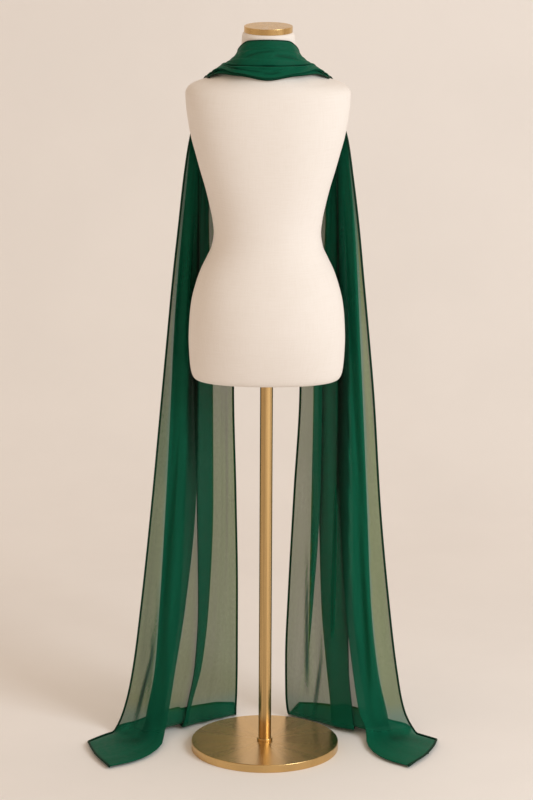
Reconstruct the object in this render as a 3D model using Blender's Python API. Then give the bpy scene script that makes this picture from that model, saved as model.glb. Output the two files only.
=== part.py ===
"""A long chiffon scarf on a limbless dress form with a brass pole and base plate.

The form's back faces -Y and its chest faces +Y, so that +X is its own right-hand side.
The scarf lies round the nape, crosses both shoulders, hangs in front of the chest in two
pleated tails and ends in a short train on the floor on each side of the base plate.
The origin is the middle of the base plate's underside. All sizes are in metres.

One net of control points describes the whole scarf. Its rows cross the cloth, one every
few centimetres of its length, and its columns run along the cloth, from the outer hem to
the inner hem. Each node of cloth is one stretch of that surface, made into a wall.
"""

import bmesh
import bpy
import numpy as np

# Stand
BASE_RADIUS = 0.165
BASE_HEIGHT = 0.018
BASE_BEVEL = 0.0015
POLE_RADIUS = 0.0142
COLLAR_RADIUS = 0.0172
COLLAR_HEIGHT = 0.006
COLLAR_BEVEL = 0.001
CAP_RADIUS = 0.0522
CAP_HEIGHT = 0.0127
CAP_BEVEL = 0.0012
ROUND_SIDES = 64
POLE_SIDES = 32
GAP = 0.0003

# Dress form: one row for each height, from its flat underside to the top of the neck.
# Each section is a rounded oval with a half width, a depth to the chest side and a depth
# to the back. A squareness of 2 is an ellipse, and more is fuller at the corners.
FORM_COLUMNS = ("height", "half_width", "front", "back", "squareness")
FORM_ROWS = (
    (0.8560, 0.1460, 0.0800, 0.0700, 2.2),
    (0.8585, 0.1560, 0.0890, 0.0790, 2.2),
    (0.8660, 0.1625, 0.0955, 0.0865, 2.2),
    (0.8800, 0.1665, 0.0995, 0.0930, 2.2),
    (0.9100, 0.1695, 0.1030, 0.1030, 2.2),
    (0.9500, 0.1710, 0.1050, 0.1130, 2.2),
    (0.9900, 0.1695, 0.1060, 0.1180, 2.2),
    (1.0300, 0.1655, 0.1050, 0.1170, 2.2),
    (1.0650, 0.1575, 0.1020, 0.1110, 2.2),
    (1.1000, 0.1460, 0.0970, 0.1030, 2.15),
    (1.1300, 0.1320, 0.0925, 0.0960, 2.1),
    (1.1550, 0.1210, 0.0895, 0.0910, 2.1),
    (1.1860, 0.1165, 0.0890, 0.0880, 2.1),
    (1.2150, 0.1195, 0.0940, 0.0890, 2.1),
    (1.2450, 0.1255, 0.1040, 0.0920, 2.15),
    (1.2850, 0.1350, 0.1220, 0.0970, 2.25),
    (1.3250, 0.1465, 0.1330, 0.1010, 2.35),
    (1.3600, 0.1560, 0.1300, 0.1035, 2.35),
    (1.4000, 0.1665, 0.1190, 0.1045, 2.35),
    (1.4400, 0.1735, 0.1070, 0.1030, 2.3),
    (1.4700, 0.1770, 0.0970, 0.1000, 2.3),
    (1.4930, 0.1780, 0.0880, 0.0960, 2.3),
    (1.5060, 0.1715, 0.0820, 0.0925, 2.25),
    (1.5150, 0.1560, 0.0780, 0.0895, 2.2),
    (1.5240, 0.1290, 0.0735, 0.0860, 2.15),
    (1.5360, 0.1000, 0.0675, 0.0805, 2.1),
    (1.5500, 0.0770, 0.0625, 0.0735, 2.05),
    (1.5650, 0.0650, 0.0590, 0.0665, 2.0),
    (1.5820, 0.0595, 0.0570, 0.0600, 2.0),
    (1.6020, 0.0575, 0.0565, 0.0575, 2.0),
    (1.6140, 0.0568, 0.0562, 0.0568, 2.0),
    (1.6220, 0.0550, 0.0545, 0.0550, 2.0),
    (1.6250, 0.0525, 0.0520, 0.0525, 2.0),
)
FORM_SIDES = 44

# Cloth
WALL = 0.001
CLEARANCE = 0.0012
FLOOR_PITCH = 0.0026

# Lines that run along the scarf: its two hems, and each fold where the cloth turns back on
# itself. Folds 1 to 4 make the deep outer pleat, 5 and 6 the middle one, 7 and 8 a slight
# inner one. On the form, each line lies at a share of the way from the lower or outer edge
# (0) to the upper or inner edge (1). Where fold 8 is further in than fold 7, the slight
# pleat has run out and the cloth only bends there.
LINES = (
    "outer_hem", "fold_1", "fold_2", "fold_3", "fold_4",
    "fold_5", "fold_6", "fold_7", "fold_8", "inner_hem",
)
NAPE_SHARE = (0.00, 0.34, 0.10, 0.30, 0.03, 0.47, 0.39, 0.62, 0.80, 1.00)
CREST_SHARE = (0.00, 0.38, 0.17, 0.34, 0.13, 0.50, 0.43, 0.64, 0.80, 1.00)
CHEST_SHARE = (0.00, 0.34, 0.07, 0.29, 0.08, 0.52, 0.38, 0.72, 0.76, 1.00)

# Columns of the net: a share of the way from one line to the next, the layer that the cloth
# lies in there, counted away from the form, and its layer on the floor. A pair of columns
# close together in two layers turns the cloth over. The deep pleat falls back towards the
# plate and the rest away from it, so the pleat's layers lie the other way up on the floor.
NET_COLUMNS = (
    # line, next line, share, layer, floor layer
    (0, 1, 0.00, 0.0, 0.0),
    (0, 1, 0.18, 0.0, 3.4),
    (0, 1, 0.60, 0.0, 3.2),
    (1, 1, 0.00, 0.0, 3.0),
    (1, 1, 0.00, 1.0, 2.0),
    (1, 2, 0.50, 1.0, 2.0),
    (2, 2, 0.00, 1.0, 2.0),
    (2, 2, 0.00, 2.0, 1.0),
    (2, 3, 0.50, 2.0, 1.0),
    (3, 3, 0.00, 2.0, 1.0),
    (3, 3, 0.00, 3.0, 0.0),
    (3, 4, 0.50, 3.0, 0.0),
    (3, 4, 0.92, 3.0, 0.0),
    (4, 5, 0.04, 4.0, 0.0),
    (4, 5, 0.30, 4.0, 0.8),
    (4, 5, 0.70, 4.0, 2.8),
    (5, 5, 0.00, 4.0, 2.0),
    (5, 5, 0.00, 3.0, 1.0),
    (5, 6, 0.50, 3.0, 1.0),
    (6, 6, 0.00, 3.0, 1.0),
    (6, 6, 0.00, 2.0, 0.0),
    (6, 7, 0.50, 2.0, 0.0),
    (6, 7, 0.94, 2.0, 0.0),
    (7, 8, 0.10, 1.3, 0.0),
    (7, 8, 0.50, 1.0, 0.0),
    (7, 8, 0.90, 0.7, 0.0),
    (8, 9, 0.06, 0.0, 0.0),
    (8, 9, 0.35, 0.0, 0.0),
    (8, 9, 0.70, 0.0, 0.0),
    (9, 9, 0.00, 0.0, 0.0),
)

# Rows that lie on the form, from the centre of the nape over the shoulder to the chest.
# Each gives a point on the scarf's lower or outer edge, one where it bends, and one on its
# upper or inner edge, with the lines' shares between them and the pitch of the layers.
# X is the distance out from the centre.
DRAPED_COLUMNS = ("low", "bend", "top", "shares", "pitch")
DRAPED_ROWS = (
    ((0.0000, -0.0870, 1.5350), (0.0000, -0.0760, 1.5590), (0.0000, -0.0610, 1.6170), NAPE_SHARE, 0.0024),
    ((0.0620, -0.0790, 1.5435), (0.0530, -0.0650, 1.5600), (0.0430, -0.0440, 1.6120), NAPE_SHARE, 0.0021),
    ((0.1020, -0.0390, 1.5410), (0.0810, -0.0330, 1.5570), (0.0650, -0.0140, 1.5880), CREST_SHARE, 0.0017),
    ((0.1285, -0.0040, 1.5265), (0.0955, 0.0040, 1.5480), (0.0670, 0.0120, 1.5740), CREST_SHARE, 0.0017),
    ((0.1310, 0.0320, 1.5130), (0.1010, 0.0380, 1.5300), (0.0690, 0.0440, 1.5450), CREST_SHARE, 0.0020),
    ((0.1410, 0.0560, 1.4860), (0.1080, 0.0690, 1.4960), (0.0690, 0.0780, 1.5060), CHEST_SHARE, 0.0023),
    ((0.1530, 0.0560, 1.4450), (0.1120, 0.0870, 1.4500), (0.0680, 0.1020, 1.4550), CHEST_SHARE, 0.0026),
)
BEND_SHARE = 0.45

# Rows of the free-hanging tails, down to where they touch the floor: how far in front of
# the form's middle the cloth hangs at some of its lines, and the pitch of its layers. The
# last row, where the cloth touches the floor, differs from side to side.
DEPTH_COLUMNS = ("height", "outer_hem", "fold_2", "fold_1", "fold_5", "inner_hem", "pitch")
DEPTH_LINES = (0, 2, 1, 5, 9)
DEPTH_ROWS = (
    (1.3860, 0.0360, 0.0500, 0.0800, 0.0980, 0.1210, 0.0030),
    (1.3000, 0.0460, 0.0580, 0.0880, 0.1100, 0.1400, 0.0038),
    (1.1900, 0.0520, 0.0620, 0.0880, 0.1150, 0.1500, 0.0048),
    (1.0600, 0.0560, 0.0640, 0.0880, 0.1180, 0.1540, 0.0056),
    (0.9300, 0.0600, 0.0670, 0.0870, 0.1200, 0.1580, 0.0060),
    (0.8000, 0.0660, 0.0700, 0.0850, 0.1200, 0.1630, 0.0060),
    (0.5400, 0.0780, 0.0740, 0.0820, 0.1200, 0.1760, 0.0060),
    (0.3000, 0.0880, 0.0760, 0.0760, 0.1180, 0.1880, 0.0060),
    (0.1500, 0.0930, 0.0760, 0.0700, 0.1120, 0.1940, 0.0056),
    (0.0600, 0.0940, 0.0760, 0.0630, 0.1070, 0.1980, 0.0054),
)
LEFT_TOUCH = (0.0110, 0.0900, 0.0700, 0.0520, 0.1060, 0.1980, 0.0050)
RIGHT_TOUCH = (0.0110, 0.0940, 0.0740, 0.0620, 0.1080, 0.2010, 0.0044)

# How far out from the centre each line hangs in the same rows, in the order of LINES.
LEFT_OUT = (
    (0.168, 0.138, 0.163, 0.143, 0.161, 0.118, 0.134, 0.104, 0.090, 0.066),
    (0.181, 0.145, 0.169, 0.151, 0.167, 0.121, 0.142, 0.108, 0.090, 0.066),
    (0.193, 0.148, 0.178, 0.156, 0.176, 0.120, 0.147, 0.109, 0.090, 0.069),
    (0.207, 0.149, 0.189, 0.160, 0.187, 0.116, 0.153, 0.106, 0.090, 0.072),
    (0.219, 0.149, 0.198, 0.163, 0.196, 0.112, 0.155, 0.104, 0.090, 0.074),
    (0.231, 0.149, 0.205, 0.167, 0.203, 0.110, 0.153, 0.102, 0.089, 0.075),
    (0.255, 0.157, 0.219, 0.175, 0.217, 0.110, 0.147, 0.102, 0.087, 0.069),
    (0.280, 0.181, 0.234, 0.188, 0.232, 0.120, 0.145, 0.108, 0.090, 0.065),
    (0.299, 0.204, 0.246, 0.208, 0.244, 0.137, 0.154, 0.120, 0.095, 0.065),
    (0.318, 0.218, 0.263, 0.224, 0.260, 0.160, 0.171, 0.135, 0.100, 0.066),
    (0.338, 0.226, 0.274, 0.232, 0.270, 0.170, 0.181, 0.140, 0.103, 0.068),
)
RIGHT_OUT = (
    (0.172, 0.140, 0.168, 0.145, 0.166, 0.116, 0.136, 0.089, 0.094, 0.064),
    (0.185, 0.148, 0.175, 0.154, 0.173, 0.120, 0.145, 0.090, 0.106, 0.066),
    (0.199, 0.154, 0.184, 0.163, 0.182, 0.119, 0.156, 0.093, 0.114, 0.068),
    (0.212, 0.155, 0.192, 0.170, 0.190, 0.113, 0.163, 0.095, 0.119, 0.070),
    (0.225, 0.154, 0.199, 0.175, 0.197, 0.109, 0.168, 0.097, 0.122, 0.074),
    (0.237, 0.154, 0.207, 0.180, 0.205, 0.107, 0.174, 0.098, 0.124, 0.076),
    (0.255, 0.165, 0.221, 0.189, 0.219, 0.111, 0.178, 0.096, 0.122, 0.064),
    (0.279, 0.181, 0.234, 0.193, 0.232, 0.119, 0.180, 0.095, 0.108, 0.053),
    (0.298, 0.199, 0.252, 0.210, 0.249, 0.133, 0.184, 0.096, 0.095, 0.048),
    (0.315, 0.214, 0.272, 0.226, 0.268, 0.143, 0.193, 0.102, 0.083, 0.049),
    (0.338, 0.229, 0.284, 0.234, 0.279, 0.148, 0.199, 0.108, 0.083, 0.054),
)

# Where each line lies on the floor, half way from touching it and at its end.
FLOOR_COLUMNS = ("middle", "end")
LEFT_FLOOR = (
    ((0.363, 0.068), (0.398, 0.024)),
    ((0.255, -0.066), (0.344, -0.146)),
    ((0.322, 0.015), (0.380, -0.055)),
    ((0.266, 0.012), (0.326, -0.038)),
    ((0.304, 0.100), (0.339, 0.120)),
    ((0.184, 0.182), (0.198, 0.245)),
    ((0.202, 0.172), (0.224, 0.227)),
    ((0.146, 0.200), (0.156, 0.270)),
    ((0.107, 0.232), (0.112, 0.291)),
    ((0.069, 0.246), (0.073, 0.290)),
)
RIGHT_FLOOR = (
    ((0.363, 0.072), (0.389, 0.049)),
    ((0.247, -0.052), (0.320, -0.132)),
    ((0.312, 0.026), (0.366, -0.042)),
    ((0.262, 0.022), (0.308, -0.015)),
    ((0.300, 0.108), (0.334, 0.134)),
    ((0.162, 0.212), (0.175, 0.275)),
    ((0.214, 0.188), (0.234, 0.242)),
    ((0.124, 0.222), (0.136, 0.285)),
    ((0.092, 0.244), (0.104, 0.291)),
    ((0.068, 0.251), (0.080, 0.292)),
)
SETTLED_SHARES = (0.2, 0.5, 0.75, 1.0)

# How far the top layer's end bows out on the floor, between the outer hem and fold 1.
LEFT_BOW = 0.010
RIGHT_BOW = 0.015

# Facets of the cloth's solids: steps from one net row to the next, which the nape and the
# tails share out at the top of the shoulder.
SHOULDER_ROW = 3
SEAM_GAP = 0.0003
NAPE_STEPS = 3
TAIL_STEPS = (2, 4, 4, 2, 1, 1, 1, 1, 1, 2, 2, 2, 2, 2, 2, 1, 1, 1)

# Finishes: colour, roughness, metallic
LINEN = (0.78, 0.70, 0.60), 0.9, 0.0
CHIFFON = (0.012, 0.080, 0.042), 0.6, 0.0
BRASS = (0.52, 0.36, 0.16), 0.32, 1.0


def smooth_rows(rows, at):
    """Rows between a table's rows, on a smooth curve in its first column."""
    table = np.asarray(rows, float)
    return hermite(table[:, 0], table, even_slopes(table[:, 0], table), np.asarray(at, float))


def even_slopes(places, values):
    """Slopes at the given places for a smooth curve that never swings past its values."""
    steps = np.diff(places).reshape((-1,) + (1,) * (values.ndim - 1))
    rises = np.diff(values, axis=0) / steps
    before, after = rises[:-1], rises[1:]
    same_way = before * after > 0.0
    weight_before = 2.0 * steps[1:] + steps[:-1]
    weight_after = steps[1:] + 2.0 * steps[:-1]
    turned = weight_before * after + weight_after * before
    mean = (weight_before + weight_after) * before * after / np.where(same_way, turned, 1.0)
    slopes = np.concatenate((rises[:1], np.where(same_way, mean, 0.0), rises[-1:]))
    return slopes


def hermite(places, values, slopes, at):
    """Values at places between the given ones, by cubic pieces with the given slopes."""
    last = len(places) - 2
    piece = np.clip(np.searchsorted(places, at, side="right") - 1, 0, last)
    step = places[piece + 1] - places[piece]
    share = np.clip((at - places[piece]) / step, 0.0, 1.0)
    spread = (slice(None),) + (None,) * (values.ndim - 1)
    step, share = step[spread], share[spread]
    start, end = values[piece], values[piece + 1]
    leave, arrive = slopes[piece] * step, slopes[piece + 1] * step
    ease = share * share * (3.0 - 2.0 * share)
    return (
        start
        + (end - start) * ease
        + leave * share * (1.0 - share) ** 2
        - arrive * share * share * (1.0 - share)
    )


def form_gap(points):
    """How far points are outside the form, along the horizontal line to its axis."""
    height = np.clip(points[..., 2], FORM_ROWS[0][0], FORM_ROWS[-1][0])
    section = smooth_rows(FORM_ROWS, height.ravel()).reshape(height.shape + (len(FORM_COLUMNS),))
    width, front, back, squareness = (section[..., i] for i in range(1, 5))
    depth = np.where(points[..., 1] > 0.0, front, back)
    across = np.abs(points[..., 0]) / width
    along = np.abs(points[..., 1]) / depth
    size = np.maximum((across**squareness + along**squareness) ** (1.0 / squareness), 1e-6)
    return np.hypot(points[..., 0], points[..., 1]) * (1.0 - 1.0 / size)


def form_slope(points):
    """The direction in which form_gap grows fastest, and how fast."""
    step = 0.0005
    parts = []
    for axis in np.eye(3) * step:
        parts.append((form_gap(points + axis) - form_gap(points - axis)) / (2.0 * step))
    return np.stack(parts, axis=-1)


def keep_off_form(points, clear):
    """Points moved out to at least the given distances from the form's surface."""
    for _ in range(4):
        slope = form_slope(points)
        steepness = np.maximum(np.linalg.norm(slope, axis=-1), 0.05)
        short = np.maximum(clear - form_gap(points) / steepness, 0.0)
        points = points + slope * (short / steepness)[..., None]
    return points


def spread_over_columns(values):
    """Values at the net's columns, from values at the lines."""
    values = np.asarray(values, float)
    return np.array([
        values[first] * (1.0 - share) + values[second] * share
        for first, second, share, *_ in NET_COLUMNS
    ])


def layer_columns():
    """The layer of each of the net's columns, hanging and on the floor."""
    return np.array([column[3:] for column in NET_COLUMNS]).T


def draped_row(low, bend, top, shares, pitch):
    """A net row that lies on the form, with the distance that each column keeps from it."""
    shares = spread_over_columns(shares)
    path = np.array((low, bend, top))
    places = np.stack([np.interp(shares, (0.0, BEND_SHARE, 1.0), path[:, i]) for i in range(3)], axis=1)
    outward = form_slope(places)
    outward /= np.linalg.norm(outward, axis=1)[:, None]
    offset = layer_columns()[0] * pitch
    return np.column_stack((places + outward * offset[:, None], CLEARANCE + WALL / 2 + offset))


def hanging_row(depth_row, out):
    """A net row at one height of a tail. Its layers are moved straight out from the first."""
    height, pitch = depth_row[0], depth_row[-1]
    places = spread_over_columns(out)
    known = [out[line] for line in DEPTH_LINES]
    depths = np.interp(-places, -np.array(known), depth_row[1:-1])
    outward = np.array((depths[-1] - depths[0], places[0] - places[-1]))
    outward /= np.linalg.norm(outward)
    offset = layer_columns()[0] * pitch
    floor_layer = layer_columns()[1] * FLOOR_PITCH * (height < 0.02)
    return np.column_stack((
        places + outward[0] * offset,
        depths + outward[1] * offset,
        np.full(len(places), height) + floor_layer,
        CLEARANCE + WALL / 2 + offset,
    ))


def bowed_columns():
    """How much of the bow each column takes: all half way from the outer hem to fold 1."""
    return np.array([4.0 * c[2] * (1.0 - c[2]) * (c[0] == 0) for c in NET_COLUMNS])


def settled_rows(touch, floor, bow):
    """Net rows on the floor, from the row that touches it to the cloth's end."""
    middle = spread_over_columns([line[0] for line in floor])
    end = spread_over_columns([line[1] for line in floor])
    rows = []
    for share in SETTLED_SHARES:
        place = (
            touch[:, :2] * (1.0 - share) * (1.0 - 2.0 * share)
            + middle * 4.0 * share * (1.0 - share)
            + end * share * (2.0 * share - 1.0)
        )
        place[:, 0] += bow * share * share * bowed_columns()
        height = WALL / 2 + FLOOR_PITCH * layer_columns()[1]
        rows.append(np.column_stack((place, height, np.zeros(len(place)))))
    return rows


def half_net(side, out_rows, touch, floor, bow):
    """The net from the centre of the nape to one end. Side is -1 for left and 1 for right."""
    rows = [draped_row(*row) for row in DRAPED_ROWS]
    rows += [hanging_row(depth_row, out) for depth_row, out in zip((*DEPTH_ROWS, touch), out_rows)]
    rows += settled_rows(rows[-1], floor, bow)
    net = np.array(rows)
    net[:, :, 0] *= side
    return net


class Scarf:
    """The scarf's surface, from its left end over the nape to its right end."""

    def __init__(self):
        left = half_net(-1.0, LEFT_OUT, LEFT_TOUCH, LEFT_FLOOR, LEFT_BOW)
        right = half_net(1.0, RIGHT_OUT, RIGHT_TOUCH, RIGHT_FLOOR, RIGHT_BOW)
        self.net = np.concatenate((left[:0:-1], right))
        self.centre_row = len(left) - 1
        middles = self.net[:, :, :3].mean(axis=1)
        steps = np.linalg.norm(np.diff(middles, axis=0), axis=1)
        self.places = np.concatenate(((0.0,), np.cumsum(steps)))
        self.slopes = even_slopes(self.places, self.net)

    def row_place(self, side, row):
        """How far along the scarf a side's net row is, counted from the nape's centre."""
        return self.places[self.centre_row + int(side) * row]

    def surface(self, places):
        """The net's rows at the given places along the scarf, clear of the form and floor."""
        rows = hermite(self.places, self.net, self.slopes, places)
        points = keep_off_form(rows[..., :3], rows[..., 3])
        points[..., 2] = np.maximum(points[..., 2], WALL / 2)
        return points


def row_samples(scarf, side):
    """Places along one tail, from its shoulder seam to its end."""
    places = []
    for offset, steps in enumerate(TAIL_STEPS):
        start = scarf.row_place(side, SHOULDER_ROW + offset)
        end = scarf.row_place(side, SHOULDER_ROW + offset + 1)
        places += [start + (end - start) * step / steps for step in range(steps)]
    places[0] += side * SEAM_GAP / 2
    places.append(scarf.row_place(side, SHOULDER_ROW + len(TAIL_STEPS)))
    return np.array(places)


def nape_samples(scarf):
    """Places along the nape, from one shoulder seam to the other."""
    places = []
    for row in range(-SHOULDER_ROW, SHOULDER_ROW):
        start, end = scarf.row_place(1, row), scarf.row_place(1, row + 1)
        places += [start + (end - start) * step / NAPE_STEPS for step in range(NAPE_STEPS)]
    places[0] += SEAM_GAP / 2
    places.append(scarf.row_place(1, SHOULDER_ROW) - SEAM_GAP / 2)
    return np.array(places)


def finish(name, values):
    """A plain Principled material."""
    colour, roughness, metallic = values
    material = bpy.data.materials.new(name)
    material.use_nodes = True
    shader = material.node_tree.nodes["Principled BSDF"]
    shader.inputs["Base Color"].default_value = (*colour, 1.0)
    shader.inputs["Roughness"].default_value = roughness
    shader.inputs["Metallic"].default_value = metallic
    return material


def add_object(name, bm, material):
    """An object from a bmesh, shaded smooth but for its sharp edges."""
    mesh = bpy.data.meshes.new(name)
    bm.to_mesh(mesh)
    bm.free()
    mesh.shade_smooth()
    mesh.set_sharp_from_angle(angle=0.7)
    mesh.materials.append(material)
    obj = bpy.data.objects.new(name, mesh)
    bpy.context.scene.collection.objects.link(obj)
    return obj


def add_cloth(name, points, material):
    """A wall of cloth through a grid of points."""
    rows, columns = points.shape[:2]
    bm = bmesh.new()
    bmesh.ops.create_grid(bm, x_segments=columns - 1, y_segments=rows - 1, size=0.5)
    bm.verts.ensure_lookup_table()
    for vertex, point in zip(bm.verts, points.reshape(-1, 3)):
        vertex.co = point
    obj = add_object(name, bm, material)
    wall = obj.modifiers.new("Wall", "SOLIDIFY")
    wall.thickness = WALL
    wall.offset = 0.0
    return obj


def add_disc(name, radius, bottom, height, bevel, sides, material):
    """A round plate or rod on the Z axis, with a small bevel round its top edge."""
    bm = bmesh.new()
    bmesh.ops.create_cone(
        bm, cap_ends=True, segments=sides, radius1=radius, radius2=radius, depth=height
    )
    bmesh.ops.translate(bm, vec=(0.0, 0.0, bottom + height / 2), verts=bm.verts)
    if bevel:
        top = bottom + height - 1e-6
        rim = [edge for edge in bm.edges if all(vertex.co.z > top for vertex in edge.verts)]
        bmesh.ops.bevel(bm, geom=rim, offset=bevel, segments=2, profile=0.5, affect="EDGES")
    return add_object(name, bm, material)


def add_form(material):
    """The dress form's torso and neck, lofted through its sections."""
    heights = [row[0] for row in FORM_ROWS]
    turn = np.linspace(0.0, 2.0 * np.pi, FORM_SIDES, endpoint=False)
    bm = bmesh.new()
    rings = []
    for height, width, front, back, squareness in smooth_rows(FORM_ROWS, heights):
        ring = bmesh.ops.create_circle(bm, segments=FORM_SIDES, radius=1.0)["verts"]
        across, along = np.cos(turn), np.sin(turn)
        size = (np.abs(across) ** squareness + np.abs(along) ** squareness) ** (1.0 / squareness)
        depth = np.where(along > 0.0, front, back)
        for vertex, x, y in zip(ring, across / size * width, along / size * depth):
            vertex.co = (x, y, height)
        rings.append(ring)
    for lower, upper in zip(rings, rings[1:]):
        edges = {edge for vertex in (*lower, *upper) for edge in vertex.link_edges}
        loops = [edge for edge in edges if abs(edge.verts[0].co.z - edge.verts[1].co.z) < 1e-6]
        bmesh.ops.bridge_loops(bm, edges=loops)
    for ring in (rings[0], rings[-1]):
        bmesh.ops.contextual_create(bm, geom=ring)
    bmesh.ops.recalc_face_normals(bm, faces=bm.faces)
    return add_object("form_torso", bm, material)


def main():
    """Builds the whole object in an emptied scene."""
    for obj in list(bpy.data.objects):
        bpy.data.objects.remove(obj)

    brass = finish("satin brass", BRASS)
    add_disc("base_plate", BASE_RADIUS, 0.0, BASE_HEIGHT, BASE_BEVEL, ROUND_SIDES, brass)
    collar_bottom = BASE_HEIGHT + GAP
    add_disc("pole_collar", COLLAR_RADIUS, collar_bottom, COLLAR_HEIGHT, COLLAR_BEVEL, POLE_SIDES, brass)
    pole_bottom = collar_bottom + COLLAR_HEIGHT + GAP
    pole_height = FORM_ROWS[0][0] - GAP - pole_bottom
    add_disc("pole", POLE_RADIUS, pole_bottom, pole_height, 0.0, POLE_SIDES, brass)
    add_form(finish("linen", LINEN))
    cap_bottom = FORM_ROWS[-1][0] + GAP
    add_disc("neck_cap", CAP_RADIUS, cap_bottom, CAP_HEIGHT, CAP_BEVEL, ROUND_SIDES, brass)

    scarf = Scarf()
    chiffon = finish("emerald chiffon", CHIFFON)
    add_cloth("scarf_nape", scarf.surface(nape_samples(scarf)), chiffon)
    for name, side in (("scarf_left_tail", -1), ("scarf_right_tail", 1)):
        add_cloth(name, scarf.surface(row_samples(scarf, side)), chiffon)


main()
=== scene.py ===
"""The looks of a long chiffon scarf draped on a limbless linen dress form.

The form stands on a brass pole and base plate with its back towards -Y, so that +X is its
own right-hand side. The scarf lies round the nape, crosses both shoulders, hangs in front
of the chest in two pleated tails and ends in a short train on the floor. All sizes are in
metres, and the origin is the middle of the base plate's underside.
"""
import logging
from dataclasses import dataclass, field
from enum import Enum
from typing import ClassVar

import bmesh
import bpy
import numpy as np
from mathutils import Matrix, Vector


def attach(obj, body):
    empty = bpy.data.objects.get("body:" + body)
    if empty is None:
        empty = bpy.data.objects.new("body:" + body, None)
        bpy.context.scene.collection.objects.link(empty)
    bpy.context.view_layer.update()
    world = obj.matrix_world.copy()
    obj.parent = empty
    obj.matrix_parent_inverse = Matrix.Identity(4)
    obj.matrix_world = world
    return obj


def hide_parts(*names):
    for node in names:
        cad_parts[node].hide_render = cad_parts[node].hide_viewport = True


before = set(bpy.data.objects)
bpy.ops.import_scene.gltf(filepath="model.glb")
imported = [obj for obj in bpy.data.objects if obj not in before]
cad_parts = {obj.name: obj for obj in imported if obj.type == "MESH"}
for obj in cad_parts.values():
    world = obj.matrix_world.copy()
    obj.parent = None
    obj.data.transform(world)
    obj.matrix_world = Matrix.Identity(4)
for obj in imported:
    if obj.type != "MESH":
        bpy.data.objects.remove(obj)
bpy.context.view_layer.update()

# UV units to a metre of the flat cut.
CUT_SCALE = 0.5
Colour = tuple[float, float, float]
Socket = bpy.types.NodeSocket
log = logging.getLogger("chiffon scarf")


class Side(Enum):
    """The two sides of the form, by the sign of X."""

    LEFT = -1
    RIGHT = 1


class Slot(Enum):
    """Names of material slots of the record; no piece here takes its finish from them."""

    CHIFFON = "chiffon"
    LINEN = "linen"


# ---------------------------------------------------------------- smooth curves


def even_slopes(places: np.ndarray, values: np.ndarray) -> np.ndarray:
    """Slopes for a smooth curve that never swings past its values.

    Args:
        places: Where each value stands along the curve, rising.
        values: The values, one row for each place.

    Returns:
        One slope for each value.
    """
    steps = np.diff(places).reshape((-1,) + (1,) * (values.ndim - 1))
    rises = np.diff(values, axis=0) / steps
    before, after = rises[:-1], rises[1:]
    same_way = before * after > 0.0
    weight_before = 2.0 * steps[1:] + steps[:-1]
    weight_after = steps[1:] + 2.0 * steps[:-1]
    turned = weight_before * after + weight_after * before
    mean = (weight_before + weight_after) * before * after / np.where(same_way, turned, 1.0)
    return np.concatenate((rises[:1], np.where(same_way, mean, 0.0), rises[-1:]))


def curve_through(places: np.ndarray, values: np.ndarray, at: np.ndarray) -> np.ndarray:
    """Values on a smooth curve through a table's rows.

    Args:
        places: Where each row stands along the curve, rising.
        values: The rows.
        at: The places that are wanted.

    Returns:
        One row for each wanted place.
    """
    slopes = even_slopes(places, values)
    piece = np.clip(np.searchsorted(places, at, side="right") - 1, 0, len(places) - 2)
    step = places[piece + 1] - places[piece]
    share = np.clip((at - places[piece]) / step, 0.0, 1.0)
    spread = (slice(None),) + (None,) * (values.ndim - 1)
    step, share = step[spread], share[spread]
    start, end = values[piece], values[piece + 1]
    ease = share * share * (3.0 - 2.0 * share)
    return (
        start
        + (end - start) * ease
        + slopes[piece] * step * share * (1.0 - share) ** 2
        - slopes[piece + 1] * step * share * share * (1.0 - share)
    )


# ---------------------------------------------------------------- the dress form's shape

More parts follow.
